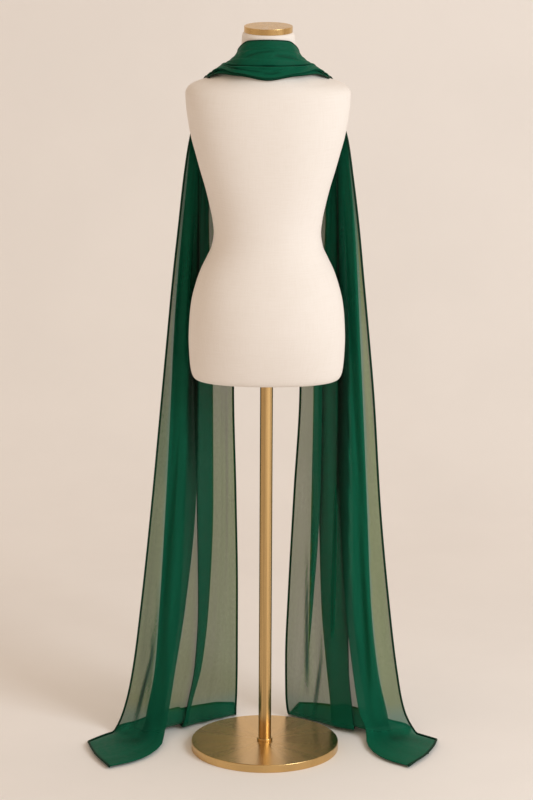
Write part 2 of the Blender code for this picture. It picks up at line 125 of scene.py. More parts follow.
# Sections of the torso and neck, each a rounded oval: height, half width, depth to the
# chest side, depth to the back, squareness.
FORM_SECTIONS = np.array((
    (0.8560, 0.1460, 0.0800, 0.0700, 2.2),
    (0.8585, 0.1560, 0.0890, 0.0790, 2.2),
    (0.8660, 0.1625, 0.0955, 0.0865, 2.2),
    (0.8800, 0.1665, 0.0995, 0.0930, 2.2),
    (0.9100, 0.1695, 0.1030, 0.1030, 2.2),
    (0.9500, 0.1710, 0.1050, 0.1130, 2.2),
    (0.9900, 0.1695, 0.1060, 0.1180, 2.2),
    (1.0300, 0.1655, 0.1050, 0.1170, 2.2),
    (1.0650, 0.1575, 0.1020, 0.1110, 2.2),
    (1.1000, 0.1460, 0.0970, 0.1030, 2.15),
    (1.1300, 0.1320, 0.0925, 0.0960, 2.1),
    (1.1550, 0.1210, 0.0895, 0.0910, 2.1),
    (1.1860, 0.1165, 0.0890, 0.0880, 2.1),
    (1.2150, 0.1195, 0.0940, 0.0890, 2.1),
    (1.2450, 0.1255, 0.1040, 0.0920, 2.15),
    (1.2850, 0.1350, 0.1220, 0.0970, 2.25),
    (1.3250, 0.1465, 0.1330, 0.1010, 2.35),
    (1.3600, 0.1560, 0.1300, 0.1035, 2.35),
    (1.4000, 0.1665, 0.1190, 0.1045, 2.35),
    (1.4400, 0.1735, 0.1070, 0.1030, 2.3),
    (1.4700, 0.1770, 0.0970, 0.1000, 2.3),
    (1.4930, 0.1780, 0.0880, 0.0960, 2.3),
    (1.5060, 0.1715, 0.0820, 0.0925, 2.25),
    (1.5150, 0.1560, 0.0780, 0.0895, 2.2),
    (1.5240, 0.1290, 0.0735, 0.0860, 2.15),
    (1.5360, 0.1000, 0.0675, 0.0805, 2.1),
    (1.5500, 0.0770, 0.0625, 0.0735, 2.05),
    (1.5650, 0.0650, 0.0590, 0.0665, 2.0),
    (1.5820, 0.0595, 0.0570, 0.0600, 2.0),
    (1.6020, 0.0575, 0.0565, 0.0575, 2.0),
    (1.6140, 0.0568, 0.0562, 0.0568, 2.0),
    (1.6220, 0.0550, 0.0545, 0.0550, 2.0),
    (1.6250, 0.0525, 0.0520, 0.0525, 2.0),
))


class FormSurface:
    """The torso's and neck's outer surface, as a distance and a direction."""

    @staticmethod
    def gap(points: np.ndarray) -> np.ndarray:
        """How far points are outside the form, along the level line to its axis.

        Args:
            points: The points.

        Returns:
            A distance for each point, below 0 inside.
        """
        height = np.clip(points[..., 2], FORM_SECTIONS[0, 0], FORM_SECTIONS[-1, 0])
        section = curve_through(FORM_SECTIONS[:, 0], FORM_SECTIONS, height.ravel())
        section = section.reshape(height.shape + (5,))
        depth = np.where(points[..., 1] > 0.0, section[..., 2], section[..., 3])
        across = np.abs(points[..., 0]) / section[..., 1]
        along = np.abs(points[..., 1]) / depth
        power = section[..., 4]
        size = np.maximum((across**power + along**power) ** (1.0 / power), 1e-6)
        return np.hypot(points[..., 0], points[..., 1]) * (1.0 - 1.0 / size)

    @classmethod
    def slope(cls, points: np.ndarray) -> np.ndarray:
        """The direction in which the gap grows fastest, as long as its growth.

        Args:
            points: The points.

        Returns:
            A vector for each point.
        """
        step = 0.0005
        parts = [
            (cls.gap(points + axis) - cls.gap(points - axis)) / (2.0 * step)
            for axis in np.eye(3) * step
        ]
        return np.stack(parts, axis=-1)

    @classmethod
    def outward(cls, points: np.ndarray) -> np.ndarray:
        """Unit directions straight out from the form."""
        slope = cls.slope(points)
        return slope / np.maximum(np.linalg.norm(slope, axis=-1, keepdims=True), 1e-9)

    @classmethod
    def keep_off(cls, points: np.ndarray, clear: np.ndarray) -> np.ndarray:
        """Points moved out to at least the given distances from the form.

        Args:
            points: The points.
            clear: The least distance for each.

        Returns:
            The moved points.
        """
        for _ in range(4):
            slope = cls.slope(points)
            steepness = np.maximum(np.linalg.norm(slope, axis=-1), 0.05)
            short = np.maximum(clear - cls.gap(points) / steepness, 0.0)
            points = points + slope * (short / steepness)[..., None]
        return points


# ---------------------------------------------------------------- the scarf's net

# Columns of the net: a share of the way from one line to the next, the layer that the
# cloth lies in there, counted away from the form, and its layer on the floor. The lines
# are the outer hem, folds 1 to 8 and the inner hem.
NET_COLUMNS = (
    # line, next line, share, layer, floor layer
    (0, 1, 0.00, 0.0, 0.0),
    (0, 1, 0.18, 0.0, 3.4),
    (0, 1, 0.60, 0.0, 3.2),
    (1, 1, 0.00, 0.0, 3.0),
    (1, 1, 0.00, 1.0, 2.0),
    (1, 2, 0.50, 1.0, 2.0),
    (2, 2, 0.00, 1.0, 2.0),
    (2, 2, 0.00, 2.0, 1.0),
    (2, 3, 0.50, 2.0, 1.0),
    (3, 3, 0.00, 2.0, 1.0),
    (3, 3, 0.00, 3.0, 0.0),
    (3, 4, 0.50, 3.0, 0.0),
    (3, 4, 0.92, 3.0, 0.0),
    (4, 5, 0.04, 4.0, 0.0),
    (4, 5, 0.30, 4.0, 0.8),
    (4, 5, 0.70, 4.0, 2.8),
    (5, 5, 0.00, 4.0, 2.0),
    (5, 5, 0.00, 3.0, 1.0),
    (5, 6, 0.50, 3.0, 1.0),
    (6, 6, 0.00, 3.0, 1.0),
    (6, 6, 0.00, 2.0, 0.0),
    (6, 7, 0.50, 2.0, 0.0),
    (6, 7, 0.94, 2.0, 0.0),
    (7, 8, 0.10, 1.3, 0.0),
    (7, 8, 0.50, 1.0, 0.0),
    (7, 8, 0.90, 0.7, 0.0),
    (8, 9, 0.06, 0.0, 0.0),
    (8, 9, 0.35, 0.0, 0.0),
    (8, 9, 0.70, 0.0, 0.0),
    (9, 9, 0.00, 0.0, 0.0),
)
NAPE_SHARE = (0.00, 0.34, 0.10, 0.30, 0.03, 0.47, 0.39, 0.62, 0.80, 1.00)
CREST_SHARE = (0.00, 0.38, 0.17, 0.34, 0.13, 0.50, 0.43, 0.64, 0.80, 1.00)
CHEST_SHARE = (0.00, 0.34, 0.07, 0.29, 0.08, 0.52, 0.38, 0.72, 0.76, 1.00)
BEND_SHARE = 0.45

# Rows on the form, from the nape's centre to the chest: a point on the lower or outer
# edge, one at the bend, one on the upper or inner edge, the lines' shares, the pitch of
# the layers. X is the distance out from the centre.
DRAPED_ROWS = (
    ((0.0000, -0.0870, 1.5350), (0.0000, -0.0760, 1.5590), (0.0000, -0.0610, 1.6170), NAPE_SHARE, 0.0024),
    ((0.0620, -0.0790, 1.5435), (0.0530, -0.0650, 1.5600), (0.0430, -0.0440, 1.6120), NAPE_SHARE, 0.0021),
    ((0.1020, -0.0390, 1.5410), (0.0810, -0.0330, 1.5570), (0.0650, -0.0140, 1.5880), CREST_SHARE, 0.0017),
    ((0.1285, -0.0040, 1.5265), (0.0955, 0.0040, 1.5480), (0.0670, 0.0120, 1.5740), CREST_SHARE, 0.0017),
    ((0.1310, 0.0320, 1.5130), (0.1010, 0.0380, 1.5300), (0.0690, 0.0440, 1.5450), CREST_SHARE, 0.0020),
    ((0.1410, 0.0560, 1.4860), (0.1080, 0.0690, 1.4960), (0.0690, 0.0780, 1.5060), CHEST_SHARE, 0.0023),
    ((0.1530, 0.0560, 1.4450), (0.1120, 0.0870, 1.4500), (0.0680, 0.1020, 1.4550), CHEST_SHARE, 0.0026),
)

# Rows of the free-hanging tails: height, then how far in front of the form's middle the
# outer hem, fold 2, fold 1, fold 5 and the inner hem hang, and the pitch of the layers.
DEPTH_LINES = (0, 2, 1, 5, 9)
DEPTH_ROWS = (
    (1.3860, 0.0360, 0.0500, 0.0800, 0.0980, 0.1210, 0.0030),
    (1.3000, 0.0460, 0.0580, 0.0880, 0.1100, 0.1400, 0.0038),
    (1.1900, 0.0520, 0.0620, 0.0880, 0.1150, 0.1500, 0.0048),
    (1.0600, 0.0560, 0.0640, 0.0880, 0.1180, 0.1540, 0.0056),
    (0.9300, 0.0600, 0.0670, 0.0870, 0.1200, 0.1580, 0.0060),
    (0.8000, 0.0660, 0.0700, 0.0850, 0.1200, 0.1630, 0.0060),
    (0.5400, 0.0780, 0.0740, 0.0820, 0.1200, 0.1760, 0.0060),
    (0.3000, 0.0880, 0.0760, 0.0760, 0.1180, 0.1880, 0.0060),
    (0.1500, 0.0930, 0.0760, 0.0700, 0.1120, 0.1940, 0.0056),
    (0.0600, 0.0940, 0.0760, 0.0630, 0.1070, 0.1980, 0.0054),
)


@dataclass(frozen=True)
class TailTable:
    """One tail's own sizes.

    Attributes:
        touch: The depth row where the cloth touches the floor.
        out: How far out from the centre each line hangs, one row for each depth row.
        floor: Where each line lies on the floor, half way from its touch and at its end.
        bow: How far the top layer's end bows out on the floor.
    """

    touch: tuple[float, ...]
    out: tuple[tuple[float, ...], ...]
    floor: tuple[tuple[tuple[float, float], tuple[float, float]], ...]
    bow: float


TAILS = {
    Side.LEFT: TailTable(
        touch=(0.0110, 0.0900, 0.0700, 0.0520, 0.1060, 0.1980, 0.0050),
        out=(
            (0.168, 0.138, 0.163, 0.143, 0.161, 0.118, 0.134, 0.104, 0.090, 0.066),
            (0.181, 0.145, 0.169, 0.151, 0.167, 0.121, 0.142, 0.108, 0.090, 0.066),
            (0.193, 0.148, 0.178, 0.156, 0.176, 0.120, 0.147, 0.109, 0.090, 0.069),
            (0.207, 0.149, 0.189, 0.160, 0.187, 0.116, 0.153, 0.106, 0.090, 0.072),
            (0.219, 0.149, 0.198, 0.163, 0.196, 0.112, 0.155, 0.104, 0.090, 0.074),
            (0.231, 0.149, 0.205, 0.167, 0.203, 0.110, 0.153, 0.102, 0.089, 0.075),
            (0.255, 0.157, 0.219, 0.175, 0.217, 0.110, 0.147, 0.102, 0.087, 0.069),
            (0.280, 0.181, 0.234, 0.188, 0.232, 0.120, 0.145, 0.108, 0.090, 0.065),
            (0.299, 0.204, 0.246, 0.208, 0.244, 0.137, 0.154, 0.120, 0.095, 0.065),
            (0.318, 0.218, 0.263, 0.224, 0.260, 0.160, 0.171, 0.135, 0.100, 0.066),
            (0.338, 0.226, 0.274, 0.232, 0.270, 0.170, 0.181, 0.140, 0.103, 0.068),
        ),
        floor=(
            ((0.363, 0.068), (0.398, 0.024)),
            ((0.255, -0.066), (0.344, -0.146)),
            ((0.322, 0.015), (0.380, -0.055)),
            ((0.266, 0.012), (0.326, -0.038)),
            ((0.304, 0.100), (0.339, 0.120)),
            ((0.184, 0.182), (0.198, 0.245)),
            ((0.202, 0.172), (0.224, 0.227)),
            ((0.146, 0.200), (0.156, 0.270)),
            ((0.107, 0.232), (0.112, 0.291)),
            ((0.069, 0.246), (0.073, 0.290)),
        ),
        bow=0.010,
    ),
    Side.RIGHT: TailTable(
        touch=(0.0110, 0.0940, 0.0740, 0.0620, 0.1080, 0.2010, 0.0044),
        out=(
            (0.172, 0.140, 0.168, 0.145, 0.166, 0.116, 0.136, 0.089, 0.094, 0.064),
            (0.185, 0.148, 0.175, 0.154, 0.173, 0.120, 0.145, 0.090, 0.106, 0.066),
            (0.199, 0.154, 0.184, 0.163, 0.182, 0.119, 0.156, 0.093, 0.114, 0.068),
            (0.212, 0.155, 0.192, 0.170, 0.190, 0.113, 0.163, 0.095, 0.119, 0.070),
            (0.225, 0.154, 0.199, 0.175, 0.197, 0.109, 0.168, 0.097, 0.122, 0.074),
            (0.237, 0.154, 0.207, 0.180, 0.205, 0.107, 0.174, 0.098, 0.124, 0.076),
            (0.255, 0.165, 0.221, 0.189, 0.219, 0.111, 0.178, 0.096, 0.122, 0.064),
            (0.279, 0.181, 0.234, 0.193, 0.232, 0.119, 0.180, 0.095, 0.108, 0.053),
            (0.298, 0.199, 0.252, 0.210, 0.249, 0.133, 0.184, 0.096, 0.095, 0.048),
            (0.315, 0.214, 0.272, 0.226, 0.268, 0.143, 0.193, 0.102, 0.083, 0.049),
            (0.338, 0.229, 0.284, 0.234, 0.279, 0.148, 0.199, 0.108, 0.083, 0.054),
        ),
        floor=(
            ((0.363, 0.072), (0.389, 0.049)),
            ((0.247, -0.052), (0.320, -0.132)),
            ((0.312, 0.026), (0.366, -0.042)),
            ((0.262, 0.022), (0.308, -0.015)),
            ((0.300, 0.108), (0.334, 0.134)),
            ((0.162, 0.212), (0.175, 0.275)),
            ((0.214, 0.188), (0.234, 0.242)),
            ((0.124, 0.222), (0.136, 0.285)),
            ((0.092, 0.244), (0.104, 0.291)),
            ((0.068, 0.251), (0.080, 0.292)),
        ),
        bow=0.015,
    ),
}


@dataclass
class ScarfNet:
    """The scarf's surface as rows across the cloth and columns along it.

    Attributes:
        wall: Thickness of the cloth's solids.
        clearance: Gap between the cloth's solids and the form.
        floor_pitch: Height of one layer above the next on the floor.
        settled_shares: How far along the floor each settled row lies.
        shoulder_row: The row of the seam between the nape's and the tails' nodes.
    """

    wall: float = 0.001
    clearance: float = 0.0012
    floor_pitch: float = 0.0026
    settled_shares: tuple[float, ...] = (0.2, 0.5, 0.75, 1.0)
    shoulder_row: int = 3
    net: np.ndarray = field(init=False)
    places: np.ndarray = field(init=False)
    centre_row: int = field(init=False)

    def __post_init__(self) -> None:
        """Joins the two halves and measures how far along the cloth each row is."""
        left, right = self.half(Side.LEFT), self.half(Side.RIGHT)
        self.net = np.concatenate((left[:0:-1], right))
        self.centre_row = len(left) - 1
        middles = self.net[:, :, :3].mean(axis=1)
        steps = np.linalg.norm(np.diff(middles, axis=0), axis=1)
        self.places = np.concatenate(((0.0,), np.cumsum(steps)))

    @staticmethod
    def over_columns(values: tuple) -> np.ndarray:
        """Values at the net's columns.

        Args:
            values: A value for each line.

        Returns:
            A value for each column.
        """
        lines = np.asarray(values, float)
        return np.array([
            lines[first] * (1.0 - share) + lines[second] * share
            for first, second, share, *_ in NET_COLUMNS
        ])

    @staticmethod
    def layers() -> np.ndarray:
        """The layer of each column, hanging and on the floor."""
        return np.array([column[3:] for column in NET_COLUMNS]).T

    def draped_row(
        self, low: tuple, bend: tuple, top: tuple, shares: tuple, pitch: float
    ) -> np.ndarray:
        """A row that lies on the form.

        Args:
            low: Point on the lower or outer edge.
            bend: Point where the row bends.
            top: Point on the upper or inner edge.
            shares: Where the lines lie between the edges.
            pitch: Distance from one layer to the next.

        Returns:
            A point for each column, and the distance that it keeps from the form.
        """
        at = self.over_columns(shares)
        path = np.array((low, bend, top))
        marks = (0.0, BEND_SHARE, 1.0)
        places = np.stack([np.interp(at, marks, path[:, i]) for i in range(3)], axis=1)
        offset = self.layers()[0] * pitch
        points = places + FormSurface.outward(places) * offset[:, None]
        return np.column_stack((points, self.clearance + self.wall / 2 + offset))

    def hanging_row(self, depth_row: tuple, out: tuple) -> np.ndarray:
        """A row at one height of a tail, its layers moved straight out from the first.

        Args:
            depth_row: Height, depths at the depth lines, pitch of the layers.
            out: How far out from the centre each line hangs.

        Returns:
            A point for each column, and the distance that it keeps from the form.
        """
        height, pitch = depth_row[0], depth_row[-1]
        places = self.over_columns(out)
        known = [out[line] for line in DEPTH_LINES]
        depths = np.interp(-places, -np.array(known), depth_row[1:-1])
        outward = np.array((depths[-1] - depths[0], places[0] - places[-1]))
        outward /= np.linalg.norm(outward)
        offset = self.layers()[0] * pitch
        lift = self.layers()[1] * self.floor_pitch * (height < 0.02)
        clear = self.clearance + self.wall / 2 + offset
        x, y = places + outward[0] * offset, depths + outward[1] * offset
        return np.column_stack((x, y, height + lift, clear))

    def settled_rows(self, touch: np.ndarray, floor: tuple, bow: float) -> list[np.ndarray]:
        """Rows on the floor, to the cloth's end.

        Args:
            touch: The row that touches the floor.
            floor: Where each line lies half way and at its end.
            bow: How far the end bows out between the outer hem and fold 1.

        Returns:
            One row for each settled share.
        """
        bowed = np.array([
            4.0 * share * (1.0 - share) * (line == 0) for line, _, share, *_ in NET_COLUMNS
        ])
        middle = self.over_columns(tuple(line[0] for line in floor))
        end = self.over_columns(tuple(line[1] for line in floor))
        height = self.wall / 2 + self.floor_pitch * self.layers()[1]
        rows = []
        for share in self.settled_shares:
            place = (
                touch[:, :2] * (1.0 - share) * (1.0 - 2.0 * share)
                + middle * 4.0 * share * (1.0 - share)
                + end * share * (2.0 * share - 1.0)
            )
            place[:, 0] += bow * share * share * bowed
            rows.append(np.column_stack((place, height, np.zeros(len(place)))))
        return rows

    def half(self, side: Side) -> np.ndarray:
        """The net from the centre of the nape to one end.

        Args:
            side: The side of that end.

        Returns:
            Rows of points, each with its distance from the form.
        """
        tail = TAILS[side]
        depths = (*DEPTH_ROWS, tail.touch)
        rows = [self.draped_row(*row) for row in DRAPED_ROWS]
        rows += [self.hanging_row(depth, out) for depth, out in zip(depths, tail.out)]
        rows += self.settled_rows(rows[-1], tail.floor, tail.bow)
        net = np.array(rows)
        net[:, :, 0] *= side.value
        return net

    def row_place(self, side: Side, row: int) -> float:
        """How far along the scarf a side's row is, counted from the nape's centre."""
        return float(self.places[self.centre_row + side.value * row])


# ---------------------------------------------------------------- creases and painted shade


def eased(share: np.ndarray) -> np.ndarray:
    """A share from 0 to 1 that starts and ends gently."""
    return share * share * (3.0 - 2.0 * share)


def beyond(place: np.ndarray, edge: np.ndarray, blur: float = 0.0015) -> np.ndarray:
    """Where a place is past an edge: 0 before it and 1 after it, over a short blur."""
    return np.clip((place - edge) / blur + 0.5, 0.0, 1.0)


@dataclass(frozen=True)
class Edge:
    """A soft edge between two parts of the cloth.

    Attributes:
        place: Where its middle is.
        blur: How wide it is.
    """

    place: float
    blur: float

    def after(self, values: np.ndarray) -> np.ndarray:
        """Where values are past the edge, from 0 to 1."""
        return beyond(values, self.place, self.blur)

    def before(self, values: np.ndarray) -> np.ndarray:
        """Where values are short of the edge, from 0 to 1."""
        return beyond(self.place, values, self.blur)


@dataclass(frozen=True)
class TailCrease:
    """A soft ridge or trough down a hanging tail.

    Attributes:
        side: The tail.
        out_top: Distance out from the centre at its top.
        out_bottom: Distance out from the centre at its foot.
        top: Height of its top.
        bottom: Height of its foot.
        width: Half width.
        depth: How far it stands out to the front, or in if it is below 0.
        crowd: How much more cloth is gathered in it, which also paints shade on it; below 0, less cloth
            and less painted shade.
    """

    # Shares of the width at its ends, and the lengths over which it fades there.
    TOP_WIDTH: ClassVar[float] = 0.7
    FOOT_WIDTH: ClassVar[float] = 1.3
    TOP_FADE: ClassVar[float] = 0.20
    FOOT_FADE: ClassVar[float] = 0.12

    side: Side
    out_top: float
    out_bottom: float
    top: float
    bottom: float
    width: float
    depth: float
    crowd: float = 0.0

    def share(self, points: np.ndarray) -> np.ndarray:
        """How far points are in the crease.

        Args:
            points: The points.

        Returns:
            A share for each, from 0 to 1.
        """
        height = points[..., 2]
        share = np.clip((self.top - height) / (self.top - self.bottom), 0.0, 1.0)
        middle = self.out_top + (self.out_bottom - self.out_top) * share
        spread = self.TOP_WIDTH + (self.FOOT_WIDTH - self.TOP_WIDTH) * share
        near = (points[..., 0] * self.side.value - middle) / (self.width * spread)
        fade = beyond(self.top, height, self.TOP_FADE)
        fade *= beyond(height, self.bottom + 0.02, self.FOOT_FADE)
        here = points[..., 0] * self.side.value > 0.0
        return here * np.exp(-near * near) * eased(fade)


L, R = Side.LEFT, Side.RIGHT
TAIL_CREASES = tuple(TailCrease(*row) for row in (
    # side, out at top, out at foot, top, foot, half width, depth, crowding
    (L, 0.178, 0.278, 1.34, 0.10, 0.0180, 0.0, 0.17),
    (L, 0.256, 0.296, 0.19, 0.02, 0.0036, -0.0020, 1.6),
    (L, 0.243, 0.268, 0.30, 0.06, 0.0050, 0.0015, 0.5),
    (L, 0.222, 0.236, 0.95, 0.58, 0.0160, 0.0, 0.16),
    (R, 0.080, 0.072, 1.05, 0.10, 0.0220, 0.0, -0.05),
    (R, 0.078, 0.070, 0.62, 0.06, 0.0260, 0.0, -0.08),
    (R, 0.158, 0.151, 0.60, 0.22, 0.0030, -0.0015, 1.2),
    (R, 0.093, 0.096, 0.36, 0.09, 0.0036, -0.0020, 1.3),
    (R, 0.127, 0.113, 0.16, 0.03, 0.0034, -0.0020, 1.5),
    (L, 0.151, 0.153, 1.36, 0.90, 0.0020, -0.0015, 1.3),
    (L, 0.139, 0.136, 1.30, 1.12, 0.0020, 0.0015, 0.9),
    (L, 0.163, 0.172, 1.24, 0.62, 0.0025, 0.0015, 0.4),
    (R, 0.152, 0.158, 1.36, 0.92, 0.0020, -0.0015, 1.2),
    (R, 0.141, 0.138, 1.30, 1.14, 0.0020, 0.0015, 0.8),
    (R, 0.174, 0.186, 1.20, 0.55, 0.0025, 0.0015, 0.4),
    (R, 0.108, 0.104, 0.52, 0.30, 0.0030, 0.0010, 0.4),
    (L, 0.196, 0.292, 1.20, 0.10, 0.010, 0.0040),
    (L, 0.214, 0.312, 0.90, 0.05, 0.008, -0.0035),
    (L, 0.176, 0.240, 1.30, 0.12, 0.007, 0.0050),
    (L, 0.163, 0.226, 1.25, 0.08, 0.006, -0.0040),
    (L, 0.186, 0.256, 0.80, 0.06, 0.006, 0.0035),
    (L, 0.146, 0.160, 1.35, 0.20, 0.008, -0.0045),
    (L, 0.128, 0.128, 1.30, 0.10, 0.007, 0.0040),
    (L, 0.112, 0.104, 1.30, 0.08, 0.008, -0.0040),
    (L, 0.098, 0.092, 1.20, 0.12, 0.009, 0.0045),
    (L, 0.084, 0.078, 0.90, 0.15, 0.007, -0.0025),
    (R, 0.198, 0.288, 1.25, 0.12, 0.009, 0.0040),
    (R, 0.216, 0.306, 0.85, 0.06, 0.008, -0.0030),
    (R, 0.180, 0.244, 1.30, 0.10, 0.007, -0.0045),
    (R, 0.168, 0.232, 1.22, 0.10, 0.006, 0.0045),
    (R, 0.190, 0.248, 0.75, 0.08, 0.006, -0.0035),
    (R, 0.148, 0.172, 1.32, 0.16, 0.008, 0.0045),
    (R, 0.131, 0.146, 1.30, 0.12, 0.007, -0.0040),
    (R, 0.115, 0.118, 1.30, 0.10, 0.007, 0.0045),
    (R, 0.100, 0.096, 1.15, 0.10, 0.008, -0.0035),
    (R, 0.086, 0.070, 0.95, 0.14, 0.008, 0.0030),
))


@dataclass(frozen=True)
class PaintedFloorShade:
    """Painted shade on the cloth on the floor, where a dip in it would get less light.

    Attributes:
        side: The tail.
        middle: How far out and how far in front its middle is.
        reach: How far it reaches across and along.
        depth: How much painted shade its middle gets, as a share.
    """

    # Height below which the cloth lies on the floor.
    LOW: ClassVar[Edge] = Edge(0.04, 0.04)

    side: Side
    middle: tuple[float, float]
    reach: tuple[float, float]
    depth: float

    def share(self, points: np.ndarray) -> np.ndarray:
        """How much painted shade points get.

        Args:
            points: The points.

        Returns:
            A share for each, from 0 to the patch's depth.
        """
        across = (points[..., 0] * self.side.value - self.middle[0]) / self.reach[0]
        along = (points[..., 1] - self.middle[1]) / self.reach[1]
        return self.depth * self.LOW.before(points[..., 2]) * np.exp(-across * across - along * along)


PAINTED_FLOOR_SHADES = tuple(PaintedFloorShade(*row) for row in (
    # side, middle, reach, depth
    (L, (0.300, 0.012), (0.030, 0.018), 0.42),
    (L, (0.272, 0.060), (0.016, 0.040), 0.35),
    (L, (0.318, 0.060), (0.030, 0.010), 0.25),
    (L, (0.225, 0.150), (0.040, 0.030), 0.25),
    (R, (0.296, 0.040), (0.022, 0.022), 0.45),
    (R, (0.268, 0.100), (0.018, 0.030), 0.35),
    (R, (0.190, 0.190), (0.050, 0.026), 0.30),
    (R, (0.345, 0.030), (0.034, 0.010), 0.20),
))


@dataclass(frozen=True)
class NapeCrease:
    """A soft ridge or trough across the cloth round the nape.

    Attributes:
        start: Distance along X, and share of the way up the cloth, where it starts.
        bend: The same where it bends.
        end: The same where it ends.
        width: Half width, as a share of the way up.
        depth: How far it stands out from the form, or in if it is below 0.
    """

    # The length over which it fades at its ends.
    FADE: ClassVar[float] = 0.012

    start: tuple[float, float]
    bend: tuple[float, float]
    end: tuple[float, float]
    width: float
    depth: float

    def share(self, across: np.ndarray, share: np.ndarray) -> np.ndarray:
        """How far points are in the crease.

        Args:
            across: Distance of each along X.
            share: Share of the way up the cloth of each.

        Returns:
            A share for each, from 0 to 1.
        """
        path = np.array((self.start, self.bend, self.end))
        middle = curve_through(path[:, 0], path, across.ravel())[:, 1].reshape(across.shape)
        near = (share - middle) / self.width
        inside = np.minimum(across - self.start[0], self.end[0] - across)
        fade = beyond(inside, self.FADE / 2.0, self.FADE)
        return np.exp(-near * near) * eased(fade)


# Painted shade on the deep cloth between the outer pleat and the middle one.
PLEAT_PAINTED_SHADE = {
    # height, inner edge, outer edge, depth of painted shade
    Side.LEFT: np.array((
        (0.10, 0.200, 0.232, 0.05),
        (0.28, 0.181, 0.203, 0.35),
        (0.42, 0.164, 0.187, 0.45),
        (0.56, 0.157, 0.183, 0.52),
        (0.62, 0.152, 0.180, 0.72),
        (0.70, 0.151, 0.178, 0.92),
        (0.83, 0.151, 0.175, 1.15),
        (1.00, 0.150, 0.171, 1.05),
        (1.20, 0.146, 0.164, 0.60),
        (1.45, 0.135, 0.145, 0.20),
    )),
    Side.RIGHT: np.array((
        (0.10, 0.196, 0.230, 0.10),
        (0.28, 0.176, 0.200, 0.55),
        (0.39, 0.171, 0.188, 0.75),
        (0.46, 0.167, 0.187, 0.80),
        (0.53, 0.163, 0.186, 0.88),
        (0.60, 0.157, 0.185, 0.95),
        (0.83, 0.157, 0.183, 1.10),
        (1.00, 0.155, 0.178, 0.90),
        (1.20, 0.150, 0.170, 0.50),
        (1.45, 0.138, 0.150, 0.20),
    )),
}
# Painted shade over a whole tail, for the side away from the light: how much darker its colour is made, as
# a share.
TAIL_SHADE = {Side.LEFT: 0.14, Side.RIGHT: 0.0}

NAPE_CREASES = tuple(NapeCrease(*row) for row in (
    # start, bend, end, half width, depth
    ((-0.058, 0.72), (-0.020, 0.84), (0.030, 0.87), 0.024, 0.0022),
    ((-0.054, 0.63), (-0.022, 0.75), (0.016, 0.79), 0.022, -0.0018),
    ((-0.020, 0.92), (0.006, 0.93), (0.044, 0.88), 0.020, 0.0016),
    ((0.002, 0.80), (0.030, 0.76), (0.062, 0.66), 0.024, 0.0020),
    ((0.010, 0.70), (0.036, 0.67), (0.072, 0.57), 0.020, -0.0018),
    ((-0.082, 0.27), (-0.040, 0.37), (0.020, 0.395), 0.034, 0.0040),
    ((-0.020, 0.395), (0.040, 0.37), (0.088, 0.27), 0.034, 0.0040),
    ((-0.096, 0.33), (-0.040, 0.45), (0.018, 0.475), 0.018, -0.0036),
    ((-0.018, 0.475), (0.040, 0.45), (0.104, 0.33), 0.018, -0.0036),
    ((0.006, 0.26), (0.040, 0.30), (0.104, 0.34), 0.030, 0.0026),
    ((-0.016, 0.24), (0.006, 0.20), (0.030, 0.22), 0.040, -0.0016),
    ((-0.104, 0.28), (-0.060, 0.24), (-0.010, 0.26), 0.030, -0.0018),
    ((-0.080, 0.17), (-0.040, 0.13), (0.000, 0.12), 0.034, 0.0016),
))


# ---------------------------------------------------------------- node graphs


